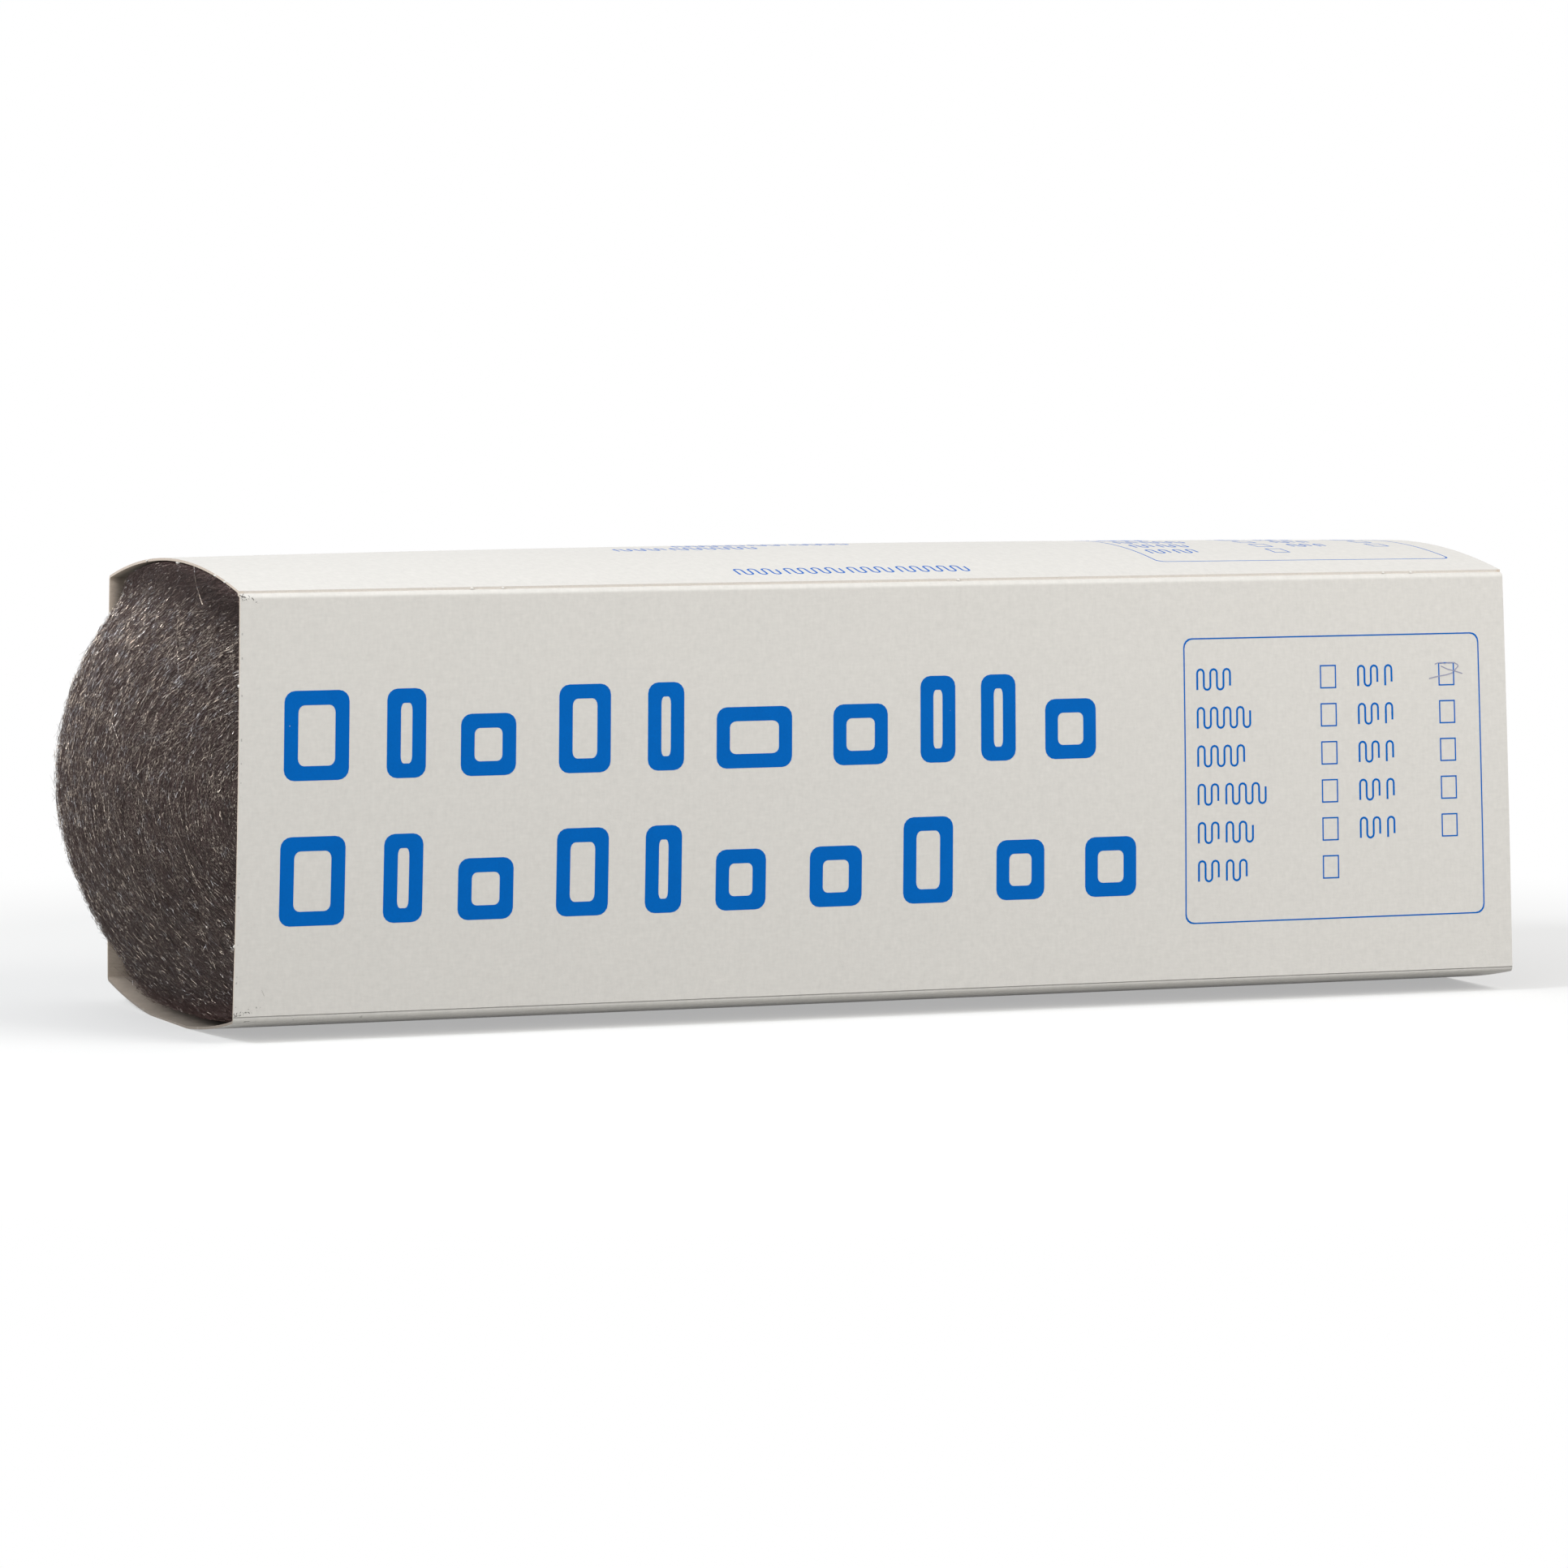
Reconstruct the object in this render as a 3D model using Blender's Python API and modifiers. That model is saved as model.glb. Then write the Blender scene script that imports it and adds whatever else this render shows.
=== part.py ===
"""Steel wool in an open carton sleeve.

A flat-wound hank of steel wool is pushed into a folded and glued board sleeve
that is open at both ends. The hank swells out of the ends, and it makes the top
and bottom panels bulge. Lengths are in metres and +Z is up. The pack lies on
the flat strip along the middle of its bottom panel.
"""

import math
import random

import bmesh
import bpy
from mathutils import Vector

# Sleeve, measured at its fold lines
LENGTH = 0.332
WIDTH = 0.106
HEIGHT = 0.100
BOARD = 0.0006
FOLD_INNER_RADIUS = 0.0003
SEAM_LEDGE = 0.0003
FLAP_WIDTH = 0.016
FLAP_END_MARGIN = 0.0006
FLAP_END_TAPER = 0.004

# How far the panels swell over the wool, at their middle lines
TOP_BULGE_ENDS = 0.0060
TOP_BULGE_MIDDLE = 0.0072
BOTTOM_BULGE = 0.0054
FOOT_WIDTH = 0.030
FRONT_BULGE_LEFT = 0.0013
FRONT_BULGE_RIGHT = 0.0004
BACK_BULGE = 0.0010

# How far the side panels lean, where a positive angle tips a panel's top edge to the back
FRONT_LEAN_LEFT = math.radians(-4.5)
BACK_LEAN_LEFT = math.radians(-2.5)
LEAN_RIGHT = math.radians(4.0)

# Steel wool hank: its reaches are measured from the sleeve's ends
CLEARANCE = 0.0003
WOOL_REACH_LEFT = 0.0261
WOOL_REACH_RIGHT = 0.0090
WOOL_REACH_SIDES = -0.0010
SHOULDER_RADIUS = 0.003

# Its end curves round a rim in the sleeve, which starts nearer to the end at the top
RIM_START = 0.0109
RIM_START_TILT = 0.0080
RIM_POWER = 0.47

# A dome stands on the rim, higher above the middle than below it
DOME_SIDE_POWER = 2.2
DOME_POWER = 1.7
DOME_RISE = 0.13
WOOL_END_NARROWING = 0.04

# Furrows between the hank's turns: three waves added up, each with its own pitch and wander
FURROW_DEPTH = 0.0011
FURROW_PITCHES = (0.0038, 0.0062, 0.0105)
FURROW_WANDER = (0.5, 1.1)
FURROW_FADE = 0.4
FURROW_SEED = 7

# Fineness of the meshes
LENGTH_CELLS = 16
BROAD_PANEL_CELLS = 14
SIDE_PANEL_CELLS = 8
FOLD_CELLS = 3
FLAP_CELLS = 4
TURN_STEPS = 48
WOOL_COLUMNS = 64

# Glued faces sink this far into each other before they are joined
GLUE_OVERLAP = 0.00015
MERGE_DISTANCE = 0.000001
SMOOTH_ANGLE = math.radians(35)

# Finish
BOARD_COLOUR = (0.76, 0.76, 0.73, 1.0)
WOOL_COLOUR = (0.075, 0.066, 0.058, 1.0)


def clear_scene():
    """Remove every object that the scene starts with."""
    for item in list(bpy.context.scene.objects):
        bpy.data.objects.remove(item, do_unlink=True)


def new_collection(name):
    """Make a collection in the scene."""
    collection = bpy.data.collections.new(name)
    bpy.context.scene.collection.children.link(collection)
    return collection


def make_material(name, colour, roughness, metallic):
    """Make a plain Principled material."""
    material = bpy.data.materials.new(name)
    material.use_nodes = True
    shader = material.node_tree.nodes["Principled BSDF"]
    shader.inputs["Base Color"].default_value = colour
    shader.inputs["Roughness"].default_value = roughness
    shader.inputs["Metallic"].default_value = metallic
    material.diffuse_color = colour
    return material


def make_object(name, mesh_data, collection, material):
    """Turn a bmesh into a smooth-shaded object."""
    mesh = bpy.data.meshes.new(name)
    mesh_data.to_mesh(mesh)
    mesh_data.free()
    mesh.shade_smooth()
    mesh.set_sharp_from_angle(angle=SMOOTH_ANGLE)
    mesh.materials.append(material)
    item = bpy.data.objects.new(name, mesh)
    collection.objects.link(item)
    return item


def clamp(value, low=0.0, high=1.0):
    """Keep a value between two limits."""
    return max(low, min(high, value))


def mix(start, end, share):
    """Go from start to end by a share."""
    return start + (end - start) * share


def crown(share):
    """Give a parabola that is 0 at both edges of a panel and 1 at its middle."""
    return 1.0 - (2.0 * share - 1.0) ** 2


def fold_radius():
    """Give the outer radius of the sleeve's folds."""
    return FOLD_INNER_RADIUS + BOARD


def seam_place():
    """Give how far the top panel's raw edge stands behind the front panel's face."""
    return fold_radius() + SEAM_LEDGE


def foot_depth():
    """Give how far the flat strip lies below the bottom fold lines."""
    return BOTTOM_BULGE * crown(0.5 + 0.5 * FOOT_WIDTH / WIDTH)


def formed(x, y, z):
    """Move a point of a straight box-shaped pack to its place in the swollen, leaning pack.

    The straight pack's near left bottom corner is at the origin of x, y and z.
    """
    along = clamp(x / LENGTH)
    across = clamp(y / WIDTH)
    up = clamp(z / HEIGHT)
    top_bulge = mix(TOP_BULGE_ENDS, TOP_BULGE_MIDDLE, crown(along)) * crown(across)
    bottom_bulge = min(BOTTOM_BULGE * crown(across), foot_depth())
    front_bulge = mix(FRONT_BULGE_LEFT, FRONT_BULGE_RIGHT, along) * crown(up)
    back_bulge = BACK_BULGE * crown(up)
    lean_left = mix(FRONT_LEAN_LEFT, BACK_LEAN_LEFT, across)
    lean = mix(math.tan(lean_left), math.tan(LEAN_RIGHT), along)
    return Vector((
        x - LENGTH / 2,
        y - WIDTH / 2 + across * back_bulge - (1.0 - across) * front_bulge + (z - HEIGHT / 2) * lean,
        z + foot_depth() + up * top_bulge - (1.0 - up) * bottom_bulge,
    ))


def run(start, end, cells):
    """Give evenly spaced section points from start up to, but not at, end."""
    return [
        (mix(start[0], end[0], step / cells), mix(start[1], end[1], step / cells))
        for step in range(cells)
    ]


def fold(centre, start_angle):
    """Give the points of a quarter-turn fold that turns clockwise about its centre."""
    points = []
    for step in range(FOLD_CELLS):
        angle = start_angle - 0.5 * math.pi * step / FOLD_CELLS
        points.append((
            centre[0] + fold_radius() * math.cos(angle),
            centre[1] + fold_radius() * math.sin(angle),
        ))
    return points


def bottom_run():
    """Give the bottom panel's points from back to front, with one at each edge of the foot."""
    far_edge = (WIDTH - fold_radius(), 0.0)
    near_edge = (fold_radius(), 0.0)
    foot_back = ((WIDTH + FOOT_WIDTH) / 2, 0.0)
    foot_front = ((WIDTH - FOOT_WIDTH) / 2, 0.0)
    curved_cells = BROAD_PANEL_CELLS // 2 - 1
    points = run(far_edge, foot_back, curved_cells)
    points += run(foot_back, foot_front, 2)
    points += run(foot_front, near_edge, curved_cells)
    return points


def sleeve_section():
    """Give the outer face's section, clockwise from the top panel's raw edge at the seam.

    The front panel folds over at the top into the glue flap, one board lower than
    the top panel, so the raw edge stands as a step just behind the front fold.
    """
    low = fold_radius()
    high = HEIGHT - fold_radius()
    far = WIDTH - fold_radius()
    flap_top = HEIGHT - BOARD
    flap_fold = flap_top - fold_radius()
    points = run((seam_place(), HEIGHT), (far, HEIGHT), BROAD_PANEL_CELLS)
    points += fold((far, high), 0.5 * math.pi)
    points += run((WIDTH, high), (WIDTH, low), SIDE_PANEL_CELLS)
    points += fold((far, low), 0.0)
    points += bottom_run()
    points += fold((low, low), -0.5 * math.pi)
    points += run((0.0, low), (0.0, flap_fold), SIDE_PANEL_CELLS)
    points += fold((low, flap_fold), -math.pi)
    points += [(low, flap_top), (seam_place(), flap_top)]
    return points


def sheet(section, closed, end_margin):
    """Make a sheet from a grid: its columns run along the pack and its rows follow the section.

    end_margin gives, for each row, how far the sheet stops short of the sleeve's ends.
    """
    rows = section + section[:1] if closed else section
    row_count = len(rows) - 1
    mesh_data = bmesh.new()
    bmesh.ops.create_grid(mesh_data, x_segments=LENGTH_CELLS, y_segments=row_count, size=1.0)
    for vert in mesh_data.verts:
        row = round((vert.co.y + 1.0) / 2.0 * row_count)
        along = (vert.co.x + 1.0) / 2.0
        margin = end_margin(row)
        y, z = rows[row]
        vert.co = formed(mix(margin, LENGTH - margin, along), y, z)
    bmesh.ops.remove_doubles(mesh_data, verts=mesh_data.verts, dist=MERGE_DISTANCE)
    mesh_data.normal_update()
    return mesh_data


def face_up(mesh_data):
    """Turn all of a sheet's faces round if the one nearest to the pack's top looks down."""
    pack_top = formed(LENGTH / 2, WIDTH / 2, HEIGHT)
    nearest = min(mesh_data.faces, key=lambda face: (face.calc_center_median() - pack_top).length)
    if nearest.normal.z < 0.0:
        bmesh.ops.reverse_faces(mesh_data, faces=mesh_data.faces)


def add_thickness(item, thickness):
    """Give a sheet its thickness under its faces, with true distances at the corners."""
    solidify = item.modifiers.new("board thickness", "SOLIDIFY")
    solidify.thickness = thickness
    solidify.offset = -1.0
    solidify.use_even_offset = True


def make_glue_flap(collection, material):
    """Make the flap that the front panel carries under the top panel, tapered at its ends."""
    height = HEIGHT - BOARD + GLUE_OVERLAP
    root = seam_place() + BOARD - GLUE_OVERLAP
    section = run((root, height), (FLAP_WIDTH, height), FLAP_CELLS)
    section.append((FLAP_WIDTH, height))

    def tapered_margin(row):
        return FLAP_END_MARGIN + FLAP_END_TAPER * row / FLAP_CELLS

    mesh_data = sheet(section, False, tapered_margin)
    face_up(mesh_data)
    flap = make_object("glue_flap", mesh_data, collection, material)
    add_thickness(flap, BOARD + GLUE_OVERLAP / 2)
    flap.hide_render = True
    flap.display_type = "WIRE"
    return flap


def make_sleeve(collection, cutters, material):
    """Make the folded board sleeve, with its glue flap joined under the top panel."""
    mesh_data = sheet(sleeve_section(), True, lambda row: 0.0)
    face_up(mesh_data)
    sleeve = make_object("carton_sleeve", mesh_data, collection, material)
    add_thickness(sleeve, BOARD)
    glue = sleeve.modifiers.new("glued flap", "BOOLEAN")
    glue.operation = "UNION"
    glue.solver = "EXACT"
    glue.object = make_glue_flap(cutters, material)
    return sleeve


def wool_half_width():
    """Give half of the hank's width inside the sleeve."""
    return WIDTH / 2 - BOARD - CLEARANCE


def wool_half_height():
    """Give half of the hank's height inside the sleeve, where its top clears the glue flap."""
    low = BOARD + CLEARANCE
    high = HEIGHT - 2.0 * BOARD - CLEARANCE
    return (high - low) / 2


def shoulder_drop(across):
    """Give how far the hank's rounded side edge drops, for a place -1 to 1 across its width."""
    into_edge = SHOULDER_RADIUS - (1.0 - abs(across)) * wool_half_width()
    share = clamp(into_edge / SHOULDER_RADIUS)
    return SHOULDER_RADIUS * (1.0 - math.sqrt(1.0 - share * share))


class Furrows:
    """The shallow grooves between the wool's turns, which wander as they go round the end."""

    def __init__(self):
        draws = random.Random(FURROW_SEED)
        self.waves = []
        for pitch in FURROW_PITCHES:
            phase = draws.uniform(0.0, 2.0 * math.pi)
            wander = draws.uniform(*FURROW_WANDER)
            wander_phase = draws.uniform(0.0, 2.0 * math.pi)
            self.waves.append((2.0 * math.pi / pitch, phase, wander, wander_phase))

    def depth(self, y, turn):
        """Give the groove's depth at a place across the hank and an angle round its turn."""
        total = 0.0
        for rate, phase, wander, wander_phase in self.waves:
            total += math.sin(rate * y + phase + wander * math.sin(2.0 * turn + wander_phase))
        share = 0.5 + 0.5 * total / len(self.waves)
        return FURROW_DEPTH * share


def wool_point(turn, across, furrows):
    """Place a point of the hank: turn is its angle round the winding, across is -1 to 1.

    Each end is a squarish rim that fills the sleeve, with a dome on it that is deepest at
    the middle of the pack's width. The furrows fade out where the wool meets the sleeve, so
    it never comes nearer than its clearance.
    """
    swell = abs(math.cos(turn))
    rise = math.sin(turn)
    at_left = math.cos(turn) < 0.0
    drop = shoulder_drop(across)
    groove = furrows.depth(across * WIDTH / 2, turn) * clamp(swell / FURROW_FADE)
    rim_start = RIM_START - RIM_START_TILT * rise
    rim = (rim_start + WOOL_REACH_SIDES - drop) * swell ** RIM_POWER
    reach = (WOOL_REACH_LEFT if at_left else WOOL_REACH_RIGHT) - WOOL_REACH_SIDES
    plan = 1.0 - abs(across) ** DOME_SIDE_POWER
    dome = reach * plan * swell ** DOME_POWER * (1.0 + DOME_RISE * rise)
    x = rim_start - rim - dome + groove * swell
    if not at_left:
        x = LENGTH - x
    y = WIDTH / 2 + wool_half_width() * across * (1.0 - WOOL_END_NARROWING * swell ** 2)
    z = BOARD + CLEARANCE + wool_half_height() + (wool_half_height() - drop - groove) * rise
    return formed(x, y, z)


def make_wool(collection, material):
    """Make the hank from a drum that lies across the pack, as if wound flat round two rods."""
    mesh_data = bmesh.new()
    bmesh.ops.create_cone(
        mesh_data, cap_ends=True, segments=TURN_STEPS, radius1=1.0, radius2=1.0, depth=2.0,
    )
    staves = [edge for edge in mesh_data.edges if abs(edge.verts[0].co.z - edge.verts[1].co.z) > 1.0]
    bmesh.ops.subdivide_edges(mesh_data, edges=staves, cuts=WOOL_COLUMNS - 1)
    furrows = Furrows()
    half_step = math.pi / TURN_STEPS
    for vert in mesh_data.verts:
        turn = math.atan2(vert.co.y, vert.co.x) + half_step
        vert.co = wool_point(turn, -vert.co.z, furrows)
    return make_object("steel_wool", mesh_data, collection, material)


def stand_on_origin(pieces):
    """Move the pieces together so that the middle of their box's underside is at the origin."""
    bpy.context.view_layer.update()
    graph = bpy.context.evaluated_depsgraph_get()
    corners = []
    for piece in pieces:
        shape = piece.evaluated_get(graph)
        corners += [shape.matrix_world @ Vector(corner) for corner in shape.bound_box]
    low = Vector([min(corner[axis] for corner in corners) for axis in range(3)])
    high = Vector([max(corner[axis] for corner in corners) for axis in range(3)])
    middle = (low + high) / 2
    for piece in pieces:
        piece.location -= Vector((middle.x, middle.y, low.z))


def main():
    """Build the pack."""
    clear_scene()
    pack = new_collection("steel_wool_in_sleeve")
    cutters = new_collection("cutters")
    board = make_material("carton_board", BOARD_COLOUR, roughness=0.6, metallic=0.0)
    steel = make_material("steel_wool", WOOL_COLOUR, roughness=0.45, metallic=0.85)
    sleeve = make_sleeve(pack, cutters, board)
    wool = make_wool(pack, steel)
    stand_on_origin([sleeve, wool, *cutters.objects])


main()
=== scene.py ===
"""Looks of a hank of steel wool in an open carton sleeve.

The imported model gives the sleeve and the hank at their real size. This add-on gives them
their finish: the white-lined board with its folds, raw edges, print and dust, and the wool
with its fibres. Lengths are in metres. A place in the straight pack is measured from its
near left bottom corner, before the panels swell and lean.
"""

import math
import random

import bmesh
import bpy
from bpy.props import FloatProperty, FloatVectorProperty, IntProperty, PointerProperty
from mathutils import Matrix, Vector, noise


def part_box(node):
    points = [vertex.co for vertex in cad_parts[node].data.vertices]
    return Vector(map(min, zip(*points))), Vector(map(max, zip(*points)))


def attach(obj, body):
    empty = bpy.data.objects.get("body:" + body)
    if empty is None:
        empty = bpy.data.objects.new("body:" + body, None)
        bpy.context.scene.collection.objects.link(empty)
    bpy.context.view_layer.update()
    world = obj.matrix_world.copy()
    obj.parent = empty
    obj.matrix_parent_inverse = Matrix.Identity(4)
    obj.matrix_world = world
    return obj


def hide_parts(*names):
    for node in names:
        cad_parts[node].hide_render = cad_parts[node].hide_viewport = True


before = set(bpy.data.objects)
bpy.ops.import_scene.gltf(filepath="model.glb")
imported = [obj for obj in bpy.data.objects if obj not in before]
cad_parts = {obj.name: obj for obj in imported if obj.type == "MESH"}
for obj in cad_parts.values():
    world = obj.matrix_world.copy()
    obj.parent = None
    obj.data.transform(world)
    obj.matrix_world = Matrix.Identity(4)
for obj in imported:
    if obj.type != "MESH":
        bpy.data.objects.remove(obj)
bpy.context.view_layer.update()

bl_info = {
    "name": "Steel Wool Pack",
    "version": (1, 0, 0),
    "blender": (4, 5, 0),
    "location": "3D View > Sidebar > Wool Pack",
    "description": "Makes a hank of steel wool in an open carton sleeve",
    "category": "Add Mesh",
}

BODY = "root"
SLEEVE_NODE = "carton_sleeve"
WOOL_NODE = "steel_wool"
BOARD_SLOT = "board"
STEEL_SLOT = "steel_wool"

FULL_TURN = 2.0 * math.pi
QUARTER_TURN = 0.25 * FULL_TURN
WHITE = (1.0, 1.0, 1.0, 1.0)
SMOOTH_ANGLE = math.radians(35)
# Attributes: a point's place in the straight pack, a fibre's brightness and where round the
# winding it starts, and how far a fibre may stand off the hank
PLACE = "place"
TONE = "tone"
TURN = "start_turn"
ROOM = "room"
UV_NAME = "surface"

# Panels of the straight pack
FRONT = "front"
TOP = "top"

# How much the printed ink reflects
INK_SHINE = 0.05


def clamp(value, low=0.0, high=1.0):
    """Keep a value between two limits."""
    return max(low, min(high, value))


def mix(start, end, share):
    """Go from start to end by a share."""
    return start + (end - start) * share


def smoothstep(value, low, high):
    """Go smoothly from 0 at low to 1 at high."""
    share = clamp((value - low) / (high - low))
    return share * share * (3.0 - 2.0 * share)


def crown(share):
    """Give a parabola that is 0 at both edges of a panel and 1 at its middle."""
    return 1.0 - (2.0 * share - 1.0) ** 2


def number(name, description, default, **more):
    """Describe a number that a user can change."""
    return FloatProperty(name=name, description=description, default=default, **more)


def metres(name, description, default):
    """Describe a length that a user can change."""
    return number(name, description, default, unit="LENGTH", precision=5)


def degrees(name, description, default):
    """Describe an angle that a user can change."""
    return number(name, description, math.radians(default), unit="ROTATION")


def tally(name, description, default, **more):
    """Describe a whole number that a user can change."""
    return IntProperty(name=name, description=description, default=default, **more)


def pigment(name, description, default):
    """Describe a colour that a user can change."""
    return FloatVectorProperty(
        name=name, description=description, default=(*default, 1.0), size=4, min=0.0, max=1.0,
        subtype="COLOR",
    )


class PackShape(bpy.types.PropertyGroup):
    """The sizes of the sleeve and of the swell that the wool gives it."""

    length: metres("Length", "Length of the sleeve", 0.332)
    width: metres("Width", "Depth of the sleeve from front to back", 0.106)
    height: metres("Height", "Height of the sleeve at its folds", 0.100)
    board: metres("Board", "Thickness of the board", 0.0006)
    fold_inner_radius: metres("Fold inner radius", "Radius inside a fold", 0.0003)
    seam_ledge: metres("Seam ledge", "Gap from the front fold to the raw edge", 0.0003)
    flap_width: metres("Flap width", "Reach of the glue flap under the top", 0.016)
    flap_margin: metres("Flap margin", "Gap from the flap to the sleeve's end", 0.0006)
    flap_taper: metres("Flap taper", "How much shorter the flap's free edge is", 0.004)
    top_bulge_ends: metres("Top bulge at ends", "Swell of the top at its ends", 0.0060)
    top_bulge_middle: metres("Top bulge in middle", "Swell of the top midway", 0.0072)
    bottom_bulge: metres("Bottom bulge", "Swell of the bottom panel", 0.0054)
    foot_width: metres("Foot width", "Width of the flat strip that it lies on", 0.030)
    front_bulge_left: metres("Front bulge left", "Swell of the front, left end", 0.0013)
    front_bulge_right: metres("Front bulge right", "Swell of the front, right end", 0.0004)
    back_bulge: metres("Back bulge", "Swell of the back panel", 0.0010)
    front_lean_left: degrees("Front lean left", "Lean of the front panel at the left end", -4.5)
    back_lean_left: degrees("Back lean left", "Lean of the back panel at the left end", -2.5)
    lean_right: degrees("Lean right", "Lean of both panels at the right end", 4.0)


class BoardFinish(bpy.types.PropertyGroup):
    """The colours of the board."""

    lining: pigment("Lining", "White-lined outer face", (0.742, 0.722, 0.690))
    back: pigment("Back", "Grey inner face", (0.50, 0.424, 0.356))
    cut: pigment("Cut edge", "Raw cut edge of the board", (0.68, 0.585, 0.50))
    dust: pigment("Dust", "Steel dust and grime", (0.055, 0.048, 0.042))


class PrintFinish(bpy.types.PropertyGroup):
    """The sizes and colours of the print."""

    ink: pigment("Ink", "Blue printing ink", (0.0, 0.138, 0.545))
    pen: pigment("Pen", "Worn ballpoint pen", (0.36, 0.37, 0.50))
    lift: metres("Lift", "How far the ink stands on the board", 0.000025)
    sink: metres("Sink", "How far the ink soaks into the board", 0.000020)
    mark_stroke: metres("Mark stroke", "Stroke of a large mark", 0.0034)
    mark_corner: metres("Mark corner", "Corner radius of a large mark", 0.0026)
    small_height: metres("Small mark height", "Height of the small print", 0.0050)
    small_pitch: metres("Small pitch", "Gap from stem to stem of the small print", 0.0018)
    small_stroke: metres("Small stroke", "Stroke of the small print", 0.00052)
    line: metres("Line", "Stroke of the table's frame and boxes", 0.00034)


class WoolShape(bpy.types.PropertyGroup):
    """The sizes and colours of the wool."""

    clearance: metres("Clearance", "Gap between the wool and the board", 0.0003)
    reach_left: metres("Reach left", "How far it swells out of the left end", 0.0252)
    reach_right: metres("Reach right", "How far it swells out of the right end", 0.0090)
    reach_sides: metres("Reach at sides", "The same at the hank's sides", -0.0010)
    shoulder: metres("Shoulder", "Radius of the hank's long edges", 0.003)
    rim_start: metres("Rim start", "Where the end's curve starts in the sleeve", 0.0109)
    rim_tilt: metres("Rim tilt", "How much later it starts at the top", 0.0080)
    rim_power: number("Rim power", "How squarely the rim fills the sleeve", 0.35)
    dome_side_power: number("Dome side power", "How squarely the dome falls to the sides", 2.2)
    dome_power: number("Dome power", "How roundly the dome falls to its top and foot", 1.85)
    dome_rise: number("Dome rise", "How much deeper the dome is above than below", 0.15)
    narrowing: number("Narrowing", "How much narrower the hank is at its tip", 0.04)
    corner_recess: metres("Corner recess", "How far the high back corner falls in", 0.0034)
    strands: tally("Strands", "Short fibres in each layer of an end", 12400, min=1)
    glints: tally("Glints", "Short gleams on an end", 12000, min=1)
    glint_length: metres("Glint length", "Mean length of a gleam", 0.0009)
    glint_width: metres("Glint width", "Thickness of a gleam", 0.00018)
    strand_length: metres("Strand length", "Mean length of a short fibre", 0.0036)
    strand_width: metres("Strand width", "Thickness of a fibre", 0.000080)
    lift: metres("Lift", "How far the fibres stand off the hank", 0.0007)
    loose_strands: tally("Loose strands", "Long loose fibres on an end", 260, min=1)
    loose_length: metres("Loose length", "Mean length of a loose fibre", 0.014)
    seed: tally("Seed", "Seed of the fibres' scatter", 11)
    map_width: metres("Map width", "Width of the hank's surface map", 0.1046)
    map_length: metres("Map length", "Length of one turn on the surface map", 0.292)
    gather: number("Gather", "How far the turns draw together at the tip", 0.36)
    gather_middle: number("Gather middle", "Where they draw together, across the hank", 0.85)
    core: pigment("Core", "Matted fibres below", (0.040, 0.0255, 0.0250))
    steel_dark: pigment("Dark steel", "Fibres that are dull", (0.079, 0.0500, 0.0480))
    # Colours that the painted glints blend towards, from dark steel
    steel_bright: pigment("Bright steel", "Fibres that glint", (0.98, 0.86, 0.74))
    steel_cool: pigment("Cool steel", "Fibres that glint grey", (0.74, 0.74, 0.76))
    steel_edge: pigment("Steel edge", "Tint of a glancing gleam", (1.0, 0.93, 0.87))


class StageLook(bpy.types.PropertyGroup):
    """The camera, lamps and floor."""

    lens: number("Lens", "Focal length in millimetres", 139.67)
    eye: FloatVectorProperty(
        name="Eye", description="Camera's place in the straight pack", subtype="TRANSLATION",
        default=(-0.4137, -1.3374, 0.1570),
    )
    yaw: degrees("Yaw", "Turn of the view to the right", 22.346)
    pitch: degrees("Pitch", "Tilt of the view down", 4.151)
    world: number("World", "Strength of the room's light", 0.445)
    key: number("Key", "Power of the lamp above, in watts", 0.8)
    fill: number("Fill", "Power of the lamp in front, in watts", 7.7)
    rim: number("Rim", "Power of the lamp at the left, in watts", 6.0)
    low: number("Low", "Power of the lamp by the mouth, in watts", 1.3)
    key_colour: pigment("Key colour", "Cool daylight", (0.94, 0.975, 1.0))
    fill_colour: pigment("Fill colour", "Warm bounce", (1.0, 0.988, 0.955))
    floor: pigment("Floor", "Pale floor, as it is seen", (0.95, 0.95, 0.95))
    floor_bounce: pigment("Floor bounce", "Light that it throws back", (0.40, 0.395, 0.380))


def both_ways(operation):
    """Give an operator and its reflected form, which add a Math node."""
    return (
        lambda value, other: value.sum_with(operation, value, other),
        lambda value, other: value.sum_with(operation, other, value),
    )


class Socket:
    """A node's output. Sums on it add Math nodes."""

    __add__, __radd__ = both_ways("ADD")
    __sub__, __rsub__ = both_ways("SUBTRACT")
    __mul__, __rmul__ = both_ways("MULTIPLY")
    __truediv__ = both_ways("DIVIDE")[0]
    __pow__ = both_ways("POWER")[0]
    __lt__ = both_ways("LESS_THAN")[0]

    def __init__(self, graph, output):
        self.graph = graph
        self.output = output

    def sum_with(self, operation, *values):
        """Add a Math node."""
        inputs = dict(enumerate(values))
        return self.graph.node("ShaderNodeMath", inputs, operation=operation)[0]

    def __abs__(self):
        return self.sum_with("ABSOLUTE", self)

    def sine(self):
        """Give the sine of an angle in radians."""
        return self.sum_with("SINE", self)

    def least(self, other):
        """Give the smaller of two values."""
        return self.sum_with("MINIMUM", self, other)

    def most(self, other):
        """Give the larger of two values."""
        return self.sum_with("MAXIMUM", self, other)


class Made:
    """A node that was added. Its outputs are read by name or number."""

    def __init__(self, graph, node):
        self.graph = graph
        self.raw = node

    def __getitem__(self, key):
        return Socket(self.graph, self.raw.outputs[key])


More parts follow.
